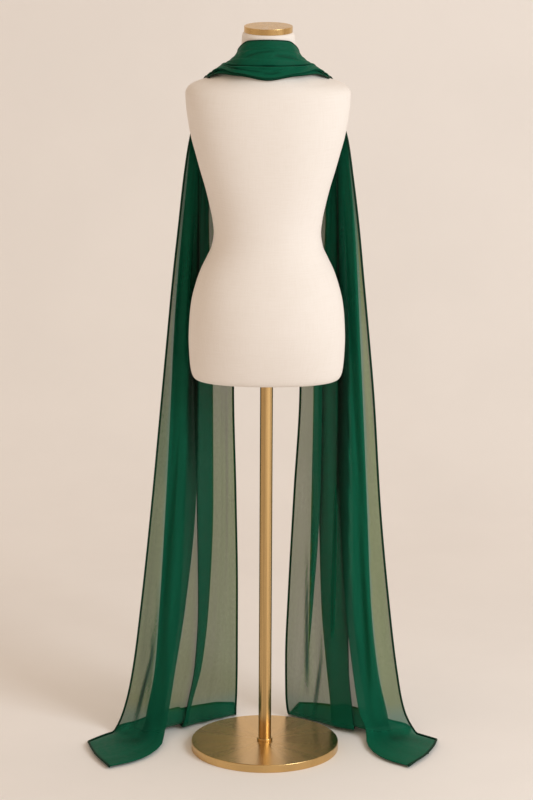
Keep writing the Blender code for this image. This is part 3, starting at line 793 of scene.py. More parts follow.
class Graph:
    """A short way to write a node tree."""

    def __init__(self, tree: bpy.types.NodeTree) -> None:
        """Starts on a tree."""
        self.tree = tree

    def node(self, kind: str, inputs: dict | None = None, **settings: object) -> bpy.types.Node:
        """Adds a node.

        Args:
            kind: The node's Blender type.
            inputs: Values or output sockets, by the input's name or number.
            settings: Properties of the node.

        Returns:
            The new node.
        """
        made = self.tree.nodes.new(kind)
        for name, value in settings.items():
            setattr(made, name, value)
        self.feed(made, inputs or {})
        return made

    def feed(self, target: bpy.types.Node, inputs: dict) -> None:
        """Sets or links a node's inputs.

        Args:
            target: The node.
            inputs: Values or output sockets, by the input's name or number.
        """
        for name, value in inputs.items():
            if isinstance(value, Socket):
                self.tree.links.new(value, target.inputs[name])
            else:
                target.inputs[name].default_value = value

    def maths(self, operation: str, *values: float | Socket, clamp: bool = False) -> Socket:
        """A sum, product or the like.

        Args:
            operation: What a Math node calls it.
            values: Numbers or sockets.
            clamp: Whether the result is kept between 0 and 1.

        Returns:
            The result's socket.
        """
        settings = {"operation": operation, "use_clamp": clamp}
        return self.node("ShaderNodeMath", dict(enumerate(values)), **settings).outputs[0]

    def ramp(self, value: Socket, low: float, high: float, start: float, end: float) -> Socket:
        """A value moved from one range to another, gently at both ends.

        Args:
            value: The value's socket.
            low: Where the first range starts.
            high: Where it ends.
            start: Where the second range starts.
            end: Where it ends.

        Returns:
            The result's socket.
        """
        inputs = {0: value, 1: low, 2: high, 3: start, 4: end}
        return self.node("ShaderNodeMapRange", inputs, interpolation_type="SMOOTHSTEP").outputs[0]

    def noise(self, place: Socket, scale: float, detail: float = 2.0) -> Socket:
        """Smooth noise from 0 to 1.

        Args:
            place: The place's socket.
            scale: How many bumps there are in a metre.
            detail: How many finer layers it has.

        Returns:
            The noise's socket.
        """
        inputs = {"Vector": place, "Scale": scale, "Detail": detail, "Roughness": 0.55}
        return self.node("ShaderNodeTexNoise", inputs).outputs["Fac"]

    def stretched(self, place: Socket, scale: tuple) -> Socket:
        """A place scaled along each axis."""
        return self.node("ShaderNodeMapping", {"Vector": place, "Scale": scale}).outputs[0]

    def attribute(self, name: str) -> Socket:
        """A number that the mesh holds at each point."""
        return self.node("ShaderNodeAttribute", attribute_name=name).outputs["Fac"]

    def blend(self, share: Socket, first: Colour | Socket, second: Colour | Socket) -> Socket:
        """A mix of two colours.

        Args:
            share: How much of the second there is, from 0 to 1.
            first: The first colour.
            second: The second colour.

        Returns:
            The mix's socket.
        """
        colours = [(*c, 1.0) if isinstance(c, tuple) else c for c in (first, second)]
        made = self.node("ShaderNodeMix", data_type="RGBA")
        self.feed(made, {0: share, 6: colours[0], 7: colours[1]})
        return made.outputs[2]

    def bump(self, strength: float, depth: float, height: Socket) -> Socket:
        """The surface's direction over small bumps.

        Args:
            strength: How strongly they show.
            depth: How deep they are.
            height: The height's socket.

        Returns:
            The direction's socket.
        """
        inputs = {"Strength": strength, "Distance": depth, "Height": height}
        return self.node("ShaderNodeBump", inputs).outputs[0]


def new_group(
    name: str, inputs: dict[str, tuple[str, object]], outputs: dict[str, str]
) -> tuple[Graph, dict[str, Socket], bpy.types.Node]:
    """A shader node group with named sockets.

    Args:
        name: The group's name.
        inputs: Each input's kind and default value.
        outputs: Each output's kind.

    Returns:
        The group's graph, its input sockets by name and its output node.
    """
    tree = bpy.data.node_groups.new(name, "ShaderNodeTree")
    for title, (kind, value) in inputs.items():
        made = tree.interface.new_socket(title, in_out="INPUT", socket_type=f"NodeSocket{kind}")
        if kind != "Vector":
            made.default_value = value
    for title, kind in outputs.items():
        tree.interface.new_socket(title, in_out="OUTPUT", socket_type=f"NodeSocket{kind}")
    graph = Graph(tree)
    start = graph.node("NodeGroupInput")
    return graph, {title: start.outputs[title] for title in inputs}, graph.node("NodeGroupOutput")


def weave_group() -> bpy.types.NodeTree:
    """Plain weave: threads one over and one under, uneven as spun yarn is.

    Returns:
        The group, which takes the place in the cut and gives the threads' height and slubs.
    """
    graph, given, result = new_group(
        "plain weave",
        {
            "Place": ("Vector", None),
            "Thread Width": ("Float", 0.0006),
            "Unevenness": ("Float", 0.3),
        },
        {"Height": "Float", "Slub": "Float"},
    )
    warp = graph.noise(graph.stretched(given["Place"], (1.0, 0.05, 1.0)), 900.0)
    weft = graph.noise(graph.stretched(given["Place"], (0.05, 1.0, 1.0)), 900.0)
    split = graph.node("ShaderNodeSeparateXYZ", {0: given["Place"]})
    turn = graph.maths("DIVIDE", float(np.pi), given["Thread Width"])
    across = graph.maths("SINE", graph.maths("MULTIPLY", split.outputs[0], turn))
    along = graph.maths("SINE", graph.maths("MULTIPLY", split.outputs[1], turn))
    over = graph.maths("MULTIPLY", across, along)
    threads = graph.maths("MULTIPLY_ADD", over, 0.5, 0.5)
    slub = graph.maths("MULTIPLY", graph.maths("ADD", warp, weft), 0.5)
    uneven = graph.maths("MULTIPLY", graph.maths("SUBTRACT", slub, 0.5), given["Unevenness"])
    height = graph.maths("ADD", threads, graph.maths("MULTIPLY", uneven, 4.0))
    graph.feed(result, {"Height": height, "Slub": slub})
    return graph.tree


def brushed_group() -> bpy.types.NodeTree:
    """Fine brushing scratches, and broad bands: partly the brushing's tone, partly painted reflection.

    Returns:
        The group, which gives the scratches' height and the bands' tone.
    """
    graph, given, result = new_group(
        "brushing",
        {"Fine": ("Vector", None), "Broad": ("Vector", None), "Depth": ("Float", 0.5)},
        {"Height": "Float", "Tone": "Float"},
    )
    fine = graph.noise(given["Fine"], 1.0, 3.0)
    broad = graph.noise(given["Broad"], 1.0, 1.0)
    graph.feed(result, {
        "Height": graph.maths("MULTIPLY", fine, given["Depth"]),
        "Tone": graph.maths("MULTIPLY_ADD", fine, 0.3, graph.maths("MULTIPLY", broad, 0.7)),
    })
    return graph.tree


def new_material(name: str) -> tuple[bpy.types.Material, Graph, bpy.types.Node]:
    """A material with a Principled shader alone.

    Args:
        name: The material's name.

    Returns:
        The material, its graph and its shader.
    """
    material = bpy.data.materials.new(name)
    material.use_nodes = True
    graph = Graph(material.node_tree)
    return material, graph, material.node_tree.nodes["Principled BSDF"]


# ---------------------------------------------------------------- finishes


@dataclass(frozen=True)
class Chiffon:
    """Sheer silk-like chiffon. One layer lets about a quarter of the light through.

    Attributes:
        colour: The dyed thread's colour.
        deep: The same where the threads are crowded.
        glow: Painted light: the warm light that comes through a layer that hangs by itself, put into its
            colour.
        dark: The painted shade colour, blended in where the cloth lies deep between pleats, in troughs and
            creases, round the nape, over the left tail and in dips on the floor.
        through: How much one flat layer lets through.
        thread: Width of a thread.
    """

    colour: Colour = (0.003, 0.128, 0.070)
    deep: Colour = (0.002, 0.096, 0.050)
    glow: Colour = (0.058, 0.120, 0.006)
    dark: Colour = (0.0, 0.002, 0.0)
    through: float = 0.225
    thread: float = 0.00045

    def material(self, weave: bpy.types.NodeTree) -> bpy.types.Material:
        """The cloth's material, from the cut's UV map and the cloth's attributes.

        Args:
            weave: The plain weave group.

        Returns:
            The material.
        """
        material, graph, shader = new_material("emerald chiffon")
        cut = graph.node("ShaderNodeUVMap", uv_map="cut").outputs[0]
        place = graph.stretched(cut, (1.0 / CUT_SCALE, 1.0 / CUT_SCALE, 1.0))
        inputs = {"Place": place, "Thread Width": self.thread, "Unevenness": 0.5}
        threads = graph.node("ShaderNodeGroup", inputs, node_tree=weave).outputs["Height"]
        crepe = graph.noise(graph.stretched(place, (1.0, 0.45, 1.0)), 240.0, 4.0)
        streak = graph.noise(graph.stretched(place, (1.0, 0.02, 1.0)), 90.0, 3.0)
        uneven = graph.maths("MULTIPLY_ADD", crepe, 0.25, graph.maths("MULTIPLY", streak, 0.22))
        crowding = graph.maths("MULTIPLY", graph.attribute("gather"), graph.maths("ADD", uneven, 0.76))
        crowding = graph.maths("MULTIPLY", crowding, graph.ramp(threads, 0.0, 1.0, 0.97, 1.03))
        clear = graph.maths("POWER", self.through, crowding)
        tone = graph.maths("MULTIPLY_ADD", streak, 0.6, graph.maths("MULTIPLY", crepe, 0.4))
        dyed = graph.blend(graph.ramp(tone, 0.3, 0.7, 0.0, 1.0), self.deep, self.colour)
        # Painted light: where a layer hangs by itself, its colour is blended towards the warm glow.
        dyed = graph.blend(graph.attribute("painted_glow"), dyed, self.glow)
        graph.feed(shader, {
            # Painted shade: an attribute blends the base colour towards the dark colour where shade would
            # fall.
            "Base Color": graph.blend(graph.attribute("painted_shade"), dyed, self.dark),
            "Alpha": graph.maths("SUBTRACT", 1.0, clear, clamp=True),
            "Normal": graph.bump(0.12, 0.0001, threads),
            "Roughness": graph.ramp(crepe, 0.3, 0.7, 0.50, 0.66),
            "Specular IOR Level": 0.08,
            "Sheen Weight": 0.04,
            "Sheen Roughness": 0.45,
            "Sheen Tint": (0.35, 0.85, 0.60, 1.0),
        })
        return material


@dataclass(frozen=True)
class HemFinish:
    """The narrow rolled hem, where the chiffon is wound into a dense cord of cloth.

    Attributes:
        colour: Its colour, deeper than the open cloth's.
        stitch: Distance from one stitch to the next.
    """

    colour: Colour = (0.001, 0.022, 0.011)
    stitch: float = 0.0028

    def material(self) -> bpy.types.Material:
        """The hem's material: a twist that follows Object coordinates.

        Returns:
            The material.
        """
        material, graph, shader = new_material("rolled hem")
        place = graph.node("ShaderNodeTexCoord").outputs["Object"]
        wave = graph.node(
            "ShaderNodeTexWave",
            {"Vector": place, "Scale": 1.0 / self.stitch / 6.0, "Distortion": 2.0, "Detail": 2.0},
            bands_direction="DIAGONAL",
        ).outputs["Fac"]
        spots = graph.ramp(graph.noise(place, 400.0, 3.0), 0.3, 0.7, 0.0, 1.0)
        pale = tuple(1.7 * c for c in self.colour)
        graph.feed(shader, {
            "Base Color": graph.blend(spots, self.colour, pale),
            "Normal": graph.bump(0.5, 0.0003, wave),
            "Roughness": 0.62,
            "Specular IOR Level": 0.12,
        })
        return material


@dataclass(frozen=True)
class Linen:
    """Cream linen, stretched smooth over the form.

    Attributes:
        colour: Its colour.
        shade: The colour of its thicker, darker threads.
        thread: Width of a thread.
    """

    colour: Colour = (0.862, 0.815, 0.780)
    shade: Colour = (0.740, 0.675, 0.610)
    thread: float = 0.0005

    def material(self, weave: bpy.types.NodeTree) -> bpy.types.Material:
        """The cover's material, from its own UV map.

        Args:
            weave: The plain weave group.

        Returns:
            The material.
        """
        material, graph, shader = new_material("cream linen")
        place = graph.node("ShaderNodeUVMap", uv_map="cover").outputs[0]
        inputs = {"Place": place, "Thread Width": self.thread, "Unevenness": 0.6}
        threads = graph.node("ShaderNodeGroup", inputs, node_tree=weave)
        cloud = graph.noise(place, 14.0, 4.0)
        slub = graph.ramp(threads.outputs["Slub"], 0.42, 0.62, 0.0, 0.15)
        mottled = graph.maths("ADD", slub, graph.maths("MULTIPLY", cloud, 0.25), clamp=True)
        graph.feed(shader, {
            "Base Color": graph.blend(mottled, self.colour, self.shade),
            "Normal": graph.bump(0.16, 0.0002, threads.outputs["Height"]),
            "Roughness": graph.ramp(threads.outputs["Slub"], 0.3, 0.7, 0.78, 0.94),
            "Specular IOR Level": 0.2,
            "Sheen Weight": 0.12,
            "Sheen Roughness": 0.5,
        })
        return material


class Brushing(Enum):
    """Which way the brass is brushed."""

    LATHE = "round the axis"
    UPRIGHT = "along the axis"


@dataclass(frozen=True)
class Brass:
    """Brushed brass with a soft satin lacquer.

    Attributes:
        brushing: Which way it is brushed.
        roughness: Its middle roughness.
        grain: How strongly the brushing spreads highlights.
        contrast: How bright the darkest bands are, as a share of the colour; the bands are partly
            brushing, partly painted reflection.
        colour: Its colour.
    """

    brushing: Brushing
    roughness: float
    grain: float
    contrast: float
    colour: Colour = (0.700, 0.470, 0.205)

    def material(self, brushed: bpy.types.NodeTree) -> bpy.types.Material:
        """The metal's material, from Object coordinates.

        Args:
            brushed: The brushing group.

        Returns:
            The material.
        """
        material, graph, shader = new_material(f"brushed brass {self.brushing.name.lower()}")
        place = graph.node("ShaderNodeTexCoord").outputs["Object"]
        x, y, z = graph.node("ShaderNodeSeparateXYZ", {0: place}).outputs
        squares = graph.maths("MULTIPLY_ADD", x, x, graph.maths("MULTIPLY", y, y))
        radius = graph.maths("MAXIMUM", graph.maths("SQRT", squares), 0.001)
        turn_x, turn_y = graph.maths("DIVIDE", x, radius), graph.maths("DIVIDE", y, radius)
        if self.brushing is Brushing.LATHE:
            rings = graph.maths("MULTIPLY", graph.maths("ADD", radius, z), 2400.0)
            fine, broad = (turn_x, turn_y, rings), (turn_x, turn_y, 0.0)
            spread = (1.0, 1.0, 1.0), (2.2, 2.2, 1.0)
        else:
            fine = broad = (turn_x, turn_y, z)
            spread = (18.0, 18.0, 6.0), (2.6, 2.6, 0.4)
        inputs = {"Depth": 0.5}
        for name, parts, scale in (("Fine", fine, spread[0]), ("Broad", broad, spread[1])):
            combined = graph.node("ShaderNodeCombineXYZ", dict(enumerate(parts))).outputs[0]
            inputs[name] = graph.stretched(combined, scale)
        marks = graph.node("ShaderNodeGroup", inputs, node_tree=brushed)
        tone = marks.outputs["Tone"]
        # Partly painted reflection: broad dark and bright bands in the colour, besides the brushing's own
        # tone.
        dark = tuple(self.contrast * c for c in self.colour)
        smooth, rough = self.roughness - 0.05, self.roughness + 0.07
        graph.feed(shader, {
            "Base Color": graph.blend(graph.ramp(tone, 0.36, 0.62, 0.0, 1.0), dark, self.colour),
            "Roughness": graph.ramp(tone, 0.3, 0.7, smooth, rough),
            "Normal": graph.bump(0.12, 0.0001, marks.outputs["Height"]),
            "Metallic": 1.0,
            "Anisotropic": self.grain,
        })
        if self.brushing is Brushing.LATHE:
            tangent = graph.node("ShaderNodeTangent", direction_type="RADIAL", axis="Z")
            graph.feed(shader, {"Tangent": tangent.outputs[0]})
        return material


# ---------------------------------------------------------------- mesh helpers


def placed(name: str, data: bpy.types.ID) -> bpy.types.Object:
    """A new object in the scene.

    Args:
        name: Its name.
        data: Its mesh, curve, lamp or camera.

    Returns:
        The object, at the origin.
    """
    made = bpy.data.objects.new(name, data)
    bpy.context.scene.collection.objects.link(made)
    return made


def finished(name: str, bm: bmesh.types.BMesh) -> bpy.types.Mesh:
    """The mesh of a bmesh, which is freed.

    Args:
        name: The mesh's name.
        bm: The bmesh.

    Returns:
        The new mesh.
    """
    mesh = bpy.data.meshes.new(name)
    bm.to_mesh(mesh)
    bm.free()
    return mesh


def add_piece(mesh: bpy.types.Mesh, material: bpy.types.Material) -> bpy.types.Object:
    """Adds a piece that rides on the one body, under its mesh's name.

    Args:
        mesh: The piece's mesh, in place.
        material: Its material.

    Returns:
        The new object.
    """
    mesh.materials.clear()
    mesh.materials.append(material)
    piece = placed(mesh.name, mesh)
    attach(piece, "root")
    log.info("%s: %d faces", mesh.name, len(mesh.polygons))
    return piece


def sheet_mesh(name: str, points: np.ndarray, normals: np.ndarray, uv: np.ndarray) -> bpy.types.Mesh:
    """A sheet of quads, moved onto a grid of points, with a UV map of its cut.

    Args:
        name: The mesh's name.
        points: One point for each row and column.
        normals: The smooth surface's direction at each point.
        uv: The place in the flat cut of each point.

    Returns:
        The new mesh.
    """
    rows, columns = points.shape[:2]
    bm = bmesh.new()
    bmesh.ops.create_grid(bm, x_segments=columns - 1, y_segments=rows - 1, size=0.5)
    bm.verts.ensure_lookup_table()
    for vertex, point in zip(bm.verts, points.reshape(-1, 3)):
        vertex.co = point
    layer = bm.loops.layers.uv.new("cut")
    flat = uv.reshape(-1, 2)
    for face in bm.faces:
        face.smooth = True
        for loop in face.loops:
            loop[layer].uv = flat[loop.vert.index]
    mesh = finished(name, bm)
    mesh.normals_split_custom_set_from_vertices(normals.reshape(-1, 3).tolist())
    return mesh


def cord_mesh(name: str, paths: list[np.ndarray], radius: float) -> bpy.types.Mesh:
    """Round cords along paths.

    Args:
        name: The mesh's name.
        paths: The middle line of each cord.
        radius: Half the cords' width.

    Returns:
        The new mesh, with closed ends.
    """
    curve = bpy.data.curves.new(name, "CURVE")
    curve.dimensions = "3D"
    curve.bevel_depth = radius
    curve.bevel_resolution = 1
    curve.use_fill_caps = True
    for path in paths:
        spline = curve.splines.new("POLY")
        spline.points.add(len(path) - 1)
        for point, place in zip(spline.points, path):
            point.co = (*place, 1.0)
    carrier = placed(name, curve)
    shown = carrier.evaluated_get(bpy.context.evaluated_depsgraph_get())
    mesh = bpy.data.meshes.new_from_object(shown)
    bpy.data.objects.remove(carrier)
    bpy.data.curves.remove(curve)
    mesh.name = name
    mesh.shade_smooth()
    return mesh


# ---------------------------------------------------------------- the dress form


@dataclass
class DressForm:
    """The linen-covered torso and neck.

    Attributes:
        sides: Steps round the form.
        rows: Rings from its underside to the top of the neck.
        wrap: UV units to a radian round the form.
        finish: The cover's finish.
    """

    sides: int = 144
    rows: int = 213
    wrap: float = 0.065
    finish: Linen = Linen()

    def profile(self) -> np.ndarray:
        """Sections from the middle of the underside to the middle of the neck's top.

        Returns:
            Rows of height, half width, front, back and squareness.
        """
        heights = np.linspace(FORM_SECTIONS[0, 0], FORM_SECTIONS[-1, 0], 1200)
        side = curve_through(FORM_SECTIONS[:, 0], FORM_SECTIONS, heights)
        steps = np.hypot(np.diff(side[:, 0]), np.diff(side[:, 1:4].mean(axis=1)))
        along = np.concatenate(((0.0,), np.cumsum(steps)))
        at = np.linspace(0.0, along[-1], self.rows)
        side = np.stack([np.interp(at, along, side[:, i]) for i in range(5)], axis=1)
        shares = np.array((0.0, 0.35, 0.75, 0.97))[:, None]
        lid = np.concatenate((np.ones_like(shares), shares, shares, shares, np.ones_like(shares)), axis=1)
        return np.concatenate((side[0] * lid, side, side[-1] * lid[::-1]))

    def build(self, weave: bpy.types.NodeTree) -> bpy.types.Object:
        """Builds the cover and dresses it.

        Args:
            weave: The plain weave group.

        Returns:
            The cover.
        """
        sections = self.profile()
        bm = bmesh.new()
        bmesh.ops.create_uvsphere(bm, u_segments=self.sides, v_segments=len(sections) - 1, radius=1.0)
        layer = bm.loops.layers.uv.new("cover")
        share = np.linspace(-1.0, 1.0, len(sections))
        for vertex in bm.verts:
            tilt = 2.0 * np.arcsin(np.clip(vertex.co.z, -1.0, 1.0)) / np.pi
            section = (np.interp(tilt, share, sections[:, i]) for i in range(5))
            height, width, front, back, power = section
            level = max(np.hypot(vertex.co.x, vertex.co.y), 1e-6)
            across, along = vertex.co.x / level, vertex.co.y / level
            size = max((abs(across) ** power + abs(along) ** power) ** (1.0 / power), 1e-6)
            depth = front if along > 0.0 else back
            vertex.co = (across / size * width, along / size * depth, height)
        for face in bm.faces:
            face.smooth = True
            turns = [np.arctan2(loop.vert.co.x, -loop.vert.co.y) for loop in face.loops]
            wraps = max(turns) - min(turns) > np.pi
            for loop, turn in zip(face.loops, turns):
                turn += 2.0 * np.pi * (wraps and turn < 0.0)
                loop[layer].uv = (turn * self.wrap + 0.45, loop.vert.co.z * CUT_SCALE)
        bmesh.ops.recalc_face_normals(bm, faces=bm.faces)
        mesh = finished("linen_cover", bm)
        piece = add_piece(mesh, self.finish.material(weave))
        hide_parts("form_torso")
        return piece


# ---------------------------------------------------------------- the scarf


@dataclass(frozen=True)
class Edges:
    """Soft edges between parts of the cloth. All but the two fronts are heights.

    Attributes:
        settled: Below it, the cloth has settled on the floor.
        pleat_shade_foot: Above it, shade is painted on the cloth between the pleats.
        pleat_shade_top: Below it, the same.
        lone_foot: Above it, single layers hang free and get the painted glow.
        lone_top: Below it, the same.
        crest: Over it, the tails draw together towards the shoulder.
        nape_foot: Above it, the cloth is gathered round the nape.
        nape_front: How far to the front that reaches.
        dim_foot: Above it, shade is painted on the cloth round the nape.
        dim_front: How far to the front that reaches.
    """

    settled: Edge = Edge(0.015, 0.01)
    pleat_shade_foot: Edge = Edge(0.05, 0.03)
    pleat_shade_top: Edge = Edge(1.45, 0.08)
    lone_foot: Edge = Edge(0.06, 0.03)
    lone_top: Edge = Edge(1.24, 0.24)
    crest: Edge = Edge(1.235, 0.57)
    nape_foot: Edge = Edge(1.505, 0.03)
    nape_front: Edge = Edge(0.005, 0.05)
    dim_foot: Edge = Edge(1.515, 0.02)
    dim_front: Edge = Edge(0.03, 0.03)


@dataclass
class Scarf:
    """The chiffon scarf: three stretches of one long sheet, with a rolled hem all round.

    Attributes:
        row_step: Distance from one row of the mesh to the next, along the cloth.
        column_step: The same across the cloth.
        hem_radius: Half the width of the rolled hem.
        nape_hem_radius: The same round the nape, where the hem is pulled tight.
        nape_gather: How many layers' worth of cloth is gathered in each layer at the nape.
        crest_share: How much of that gathering reaches the tops of the tails.
        floor_gather: How much more cloth is gathered where it has settled on the floor.
        nape_shade: How much shade is painted on the gathered cloth round the nape, as a share.
        side_shade: How much more shade is painted on its left side for each metre out.
        side_reach: How far out that goes on growing.
        trough_shade: How much shade is painted in its troughs for each metre that they are deep.
        crowd_shade: How much shade is painted on crowded cloth, as a share.
        pleat_shade_fall: How much lighter the painted shade between the pleats is at its outer edge, as a
            share.
        pleat_shade_blur: How wide the painted shade's inner edge is.
        darkest: The most painted shade that any cloth gets, as a share.
        crease_front: How far to the front the nape's creases reach.
        crease_foot: The height above which they lie.
        outer_margin: How far past the deep pleat the outer layer starts to hang alone.
        between_margin: The same for the gap between the deep pleat and the middle one.
        inner_margin: The same inside the middle pleat.
        slight_margin: How far past its folds the slight pleat is still double.
        edges: Soft edges between parts of the cloth.
        chiffon: The cloth's finish.
        hem: The hem's finish.
    """

    row_step: float = 0.007
    column_step: float = 0.0030
    hem_radius: float = 0.0025
    nape_hem_radius: float = 0.0012
    nape_gather: float = 2.6
    crest_share: float = 0.75
    floor_gather: float = 0.7
    nape_shade: float = 0.20
    side_shade: float = 0.6
    side_reach: float = 0.12
    trough_shade: float = 170.0
    crowd_shade: float = 0.45
    pleat_shade_fall: float = 0.4
    pleat_shade_blur: float = 0.004
    darkest: float = 0.97
    crease_front: float = 0.02
    crease_foot: float = 1.50
    outer_margin: float = 0.004
    between_margin: float = 0.001
    inner_margin: float = 0.002
    slight_margin: float = 0.004
    edges: Edges = Edges()
    chiffon: Chiffon = Chiffon()
    hem: HemFinish = HemFinish()
    net: ScarfNet = field(default_factory=ScarfNet)

    def row_places(self) -> tuple[np.ndarray, int, int]:
        """Places of the mesh's rows, with a row on each shoulder seam.

        Returns:
            The places, and the rows of the left and right seams.
        """
        left = self.net.row_place(Side.LEFT, self.net.shoulder_row)
        right = self.net.row_place(Side.RIGHT, self.net.shoulder_row)
        stretches = []
        for start, end in ((0.0, left), (left, right), (right, float(self.net.places[-1]))):
            steps = round((end - start) / self.row_step)
            stretches.append(np.linspace(start, end, steps + 1))
        places = np.concatenate((stretches[0], stretches[1][1:], stretches[2][1:]))
        return places, len(stretches[0]) - 1, len(stretches[0]) + len(stretches[1]) - 2

    def column_places(self, rows: np.ndarray) -> tuple[np.ndarray, np.ndarray]:
        """Where the net's columns and the mesh's columns stand across the cloth.

        Args:
            rows: The net's rows at the mesh's row places.

        Returns:
            The net columns' places and the mesh columns' places.
        """
        gaps = np.linalg.norm(np.diff(rows[..., :3], axis=1), axis=-1).mean(axis=0)
        known = np.concatenate(((0.0,), np.cumsum(gaps)))
        parts = []
        for start, end in zip(known[:-1], known[1:]):
            steps = max(3, round((end - start) / self.column_step))
            parts.append(np.linspace(start, end, steps, endpoint=False))
        return known, np.concatenate((*parts, known[-1:]))

    def creased(self, points: np.ndarray, across_share: np.ndarray) -> np.ndarray:
        """The sheet with its creases pressed in.

        Args:
            points: The smooth sheet.
            across_share: Each point's share of the way up the cloth on the form.

        Returns:
            The creased sheet.
        """
        lift = sum(crease.depth * crease.share(points) for crease in TAIL_CREASES)
        points = points + np.stack((np.zeros_like(lift), lift, np.zeros_like(lift)), axis=-1)
        near_nape = (points[..., 1] < self.crease_front) & (points[..., 2] > self.crease_foot)
        lift = sum(c.depth * c.share(points[..., 0], across_share) for c in NAPE_CREASES)
        return points + FormSurface.outward(points) * (lift * near_nape)[..., None]

    def surface(self) -> tuple[np.ndarray, np.ndarray, np.ndarray, int, int]:
        """The whole sheet.

        Returns:
            Its points, the net's rows at the same places, the columns' shares of the way
            up the cloth on the form, and the rows of the left and right shoulder seams.
        """
        places, left, right = self.row_places()
        rows = curve_through(self.net.places, self.net.net, places)
        known, columns = self.column_places(rows)
        shares = np.interp(columns, known, self.net.over_columns(NAPE_SHARE))
        fine = curve_through(known, rows.transpose(1, 0, 2), columns).transpose(1, 0, 2)
        points = FormSurface.keep_off(fine[..., :3], fine[..., 3])
        points = self.creased(points, np.broadcast_to(shares, points.shape[:2]))
        points = FormSurface.keep_off(points, fine[..., 3])
        points[..., 2] = np.maximum(points[..., 2], self.net.wall / 2)
        return points, rows, shares, left, right

    @staticmethod
    def flat_cut(points: np.ndarray) -> tuple[np.ndarray, np.ndarray]:
        """Where a stretch's columns and rows lie in the flat cut, from its mean steps.

        Args:
            points: The stretch.

        Returns:
            The columns' and the rows' places.
        """
        across = np.linalg.norm(np.diff(points, axis=1), axis=-1).mean(axis=0)
        along = np.linalg.norm(np.diff(points, axis=0), axis=-1).mean(axis=1)
        return np.concatenate(((0.0,), np.cumsum(across))), np.concatenate(((0.0,), np.cumsum(along)))

    def gather(self, points: np.ndarray, crowd: np.ndarray) -> np.ndarray:
        """How densely the cloth is gathered.

        Args:
            points: The sheet.
            crowd: How much more of it is crowded in creases.

        Returns:
            The layers' worth of cloth in one layer: 1 where it lies flat.
        """
        height = points[..., 2]
        back = self.edges.nape_front.before(points[..., 1]) * self.edges.nape_foot.after(height)
        crest = self.crest_share * self.edges.crest.after(height)
        extra = (self.nape_gather - 1.0) * np.maximum(back, crest)
        return 1.0 + extra + self.floor_gather * self.edges.settled.before(height) + crowd

    @staticmethod
    def line_outs(rows: np.ndarray) -> dict[int, np.ndarray]:
        """How far out each line is.

        Args:
            rows: The net's rows.

        Returns:
            A column of distances, row by row, for each line's number.
        """
        places = np.array([start + (end - start) * share for start, end, share, *_ in NET_COLUMNS])
        columns = {line: int(np.argmin(np.abs(places - line))) for line in range(10)}
        return {line: np.abs(rows[:, column, 0])[:, None] for line, column in columns.items()}

    def painted_shade(self, points: np.ndarray, shares: np.ndarray, crowd: np.ndarray) -> np.ndarray:
        """Painted shade where the cloth lies deep between pleats and in troughs, in creases, round the
        nape, over the left tail and in dips on the floor.

        Args:
            points: The sheet.
            shares: The mesh columns' shares of the way up the cloth on the form.
            crowd: How much more cloth is crowded in creases.

        Returns:
            How much painted shade each point gets, up to nearly 1.
        """
        out, height = np.abs(points[..., 0]), points[..., 2]
        # Painted shade in crowded creases.
        shaded = self.crowd_shade * crowd
        # Painted shade between the pleats, and over a whole tail.
        for side, table in PLEAT_PAINTED_SHADE.items():
            inner, outer, depth = (np.interp(height, table[:, 0], table[:, i]) for i in (1, 2, 3))
            share = np.clip((out - inner) / (outer - inner), 0.0, 1.0)
            deep = depth * (1.0 - self.pleat_shade_fall * share)
            deep *= beyond(out, inner, self.pleat_shade_blur) * beyond(outer, out)
            deep *= self.edges.pleat_shade_top.before(height) * self.edges.pleat_shade_foot.after(height)
            here = (points[..., 0] * side.value > 0.0) & (height < self.crease_foot)
            shaded += here * np.maximum(deep, TAIL_SHADE[side])
        x, y = points[..., 0], points[..., 1]
        up = np.broadcast_to(shares, out.shape)
        # Painted shade round the nape: all over it, more on its left side and in its troughs.
        deepness = sum(max(-crease.depth, 0.0) * crease.share(x, up) for crease in NAPE_CREASES)
        nape = self.nape_shade + self.side_shade * np.clip(-x, 0.0, self.side_reach)
        nape += self.trough_shade * deepness
        shaded += nape * self.edges.dim_foot.after(height) * self.edges.dim_front.before(y)
        # Painted shade in dips on the floor.
        shaded += sum(patch.share(points) for patch in PAINTED_FLOOR_SHADES)
        return np.minimum(shaded, self.darkest)

    def painted_glow(self, points: np.ndarray, rows: np.ndarray, crowd: np.ndarray) -> np.ndarray:
        """Painted glow where a layer hangs by itself.

        Args:
            points: The sheet.
            rows: The net's rows at the mesh's row places.
            crowd: How much more cloth is crowded in creases.

        Returns:
            How much painted glow each point gets, from 0 to 1.
        """
        out, height = np.abs(points[..., 0]), points[..., 2]
        line = self.line_outs(rows)
        hanging = self.edges.lone_foot.after(height) * self.edges.lone_top.before(height)
        outside = beyond(out, np.maximum(line[2], line[4]) + self.outer_margin)
        between = beyond(out, line[6] + self.between_margin) * beyond(line[1] - self.between_margin, out)
        slight = beyond(out, line[7] - self.slight_margin) * beyond(line[8] + self.slight_margin, out)
        inside = beyond(line[5] - self.inner_margin, out) * (1.0 - slight)
        painted_glow = np.maximum(np.maximum(outside, between), inside)
        return painted_glow * hanging * np.clip(1.0 - crowd, 0.0, 1.0)

    def hem_paths(self, name: str, part: np.ndarray) -> list[np.ndarray]:
        """The lines of a stretch's hem: all round a tail's free edges, or along both edges.

        Args:
            name: The stretch.
            part: Its points.

        Returns:
            The middle line of each cord, clear of the floor.
        """
        outer, inner = part[:, 0], part[:, -1]
        if name == "left_tail":
            paths = [np.concatenate((outer[::-1], part[0, 1:-1], inner))]
        elif name == "right_tail":
            paths = [np.concatenate((outer, part[-1, 1:-1], inner[::-1]))]
        else:
            paths = [outer, inner]
        lowest = np.array((-np.inf, -np.inf, self.hem_radius))
        return [np.maximum(path, lowest) for path in paths]

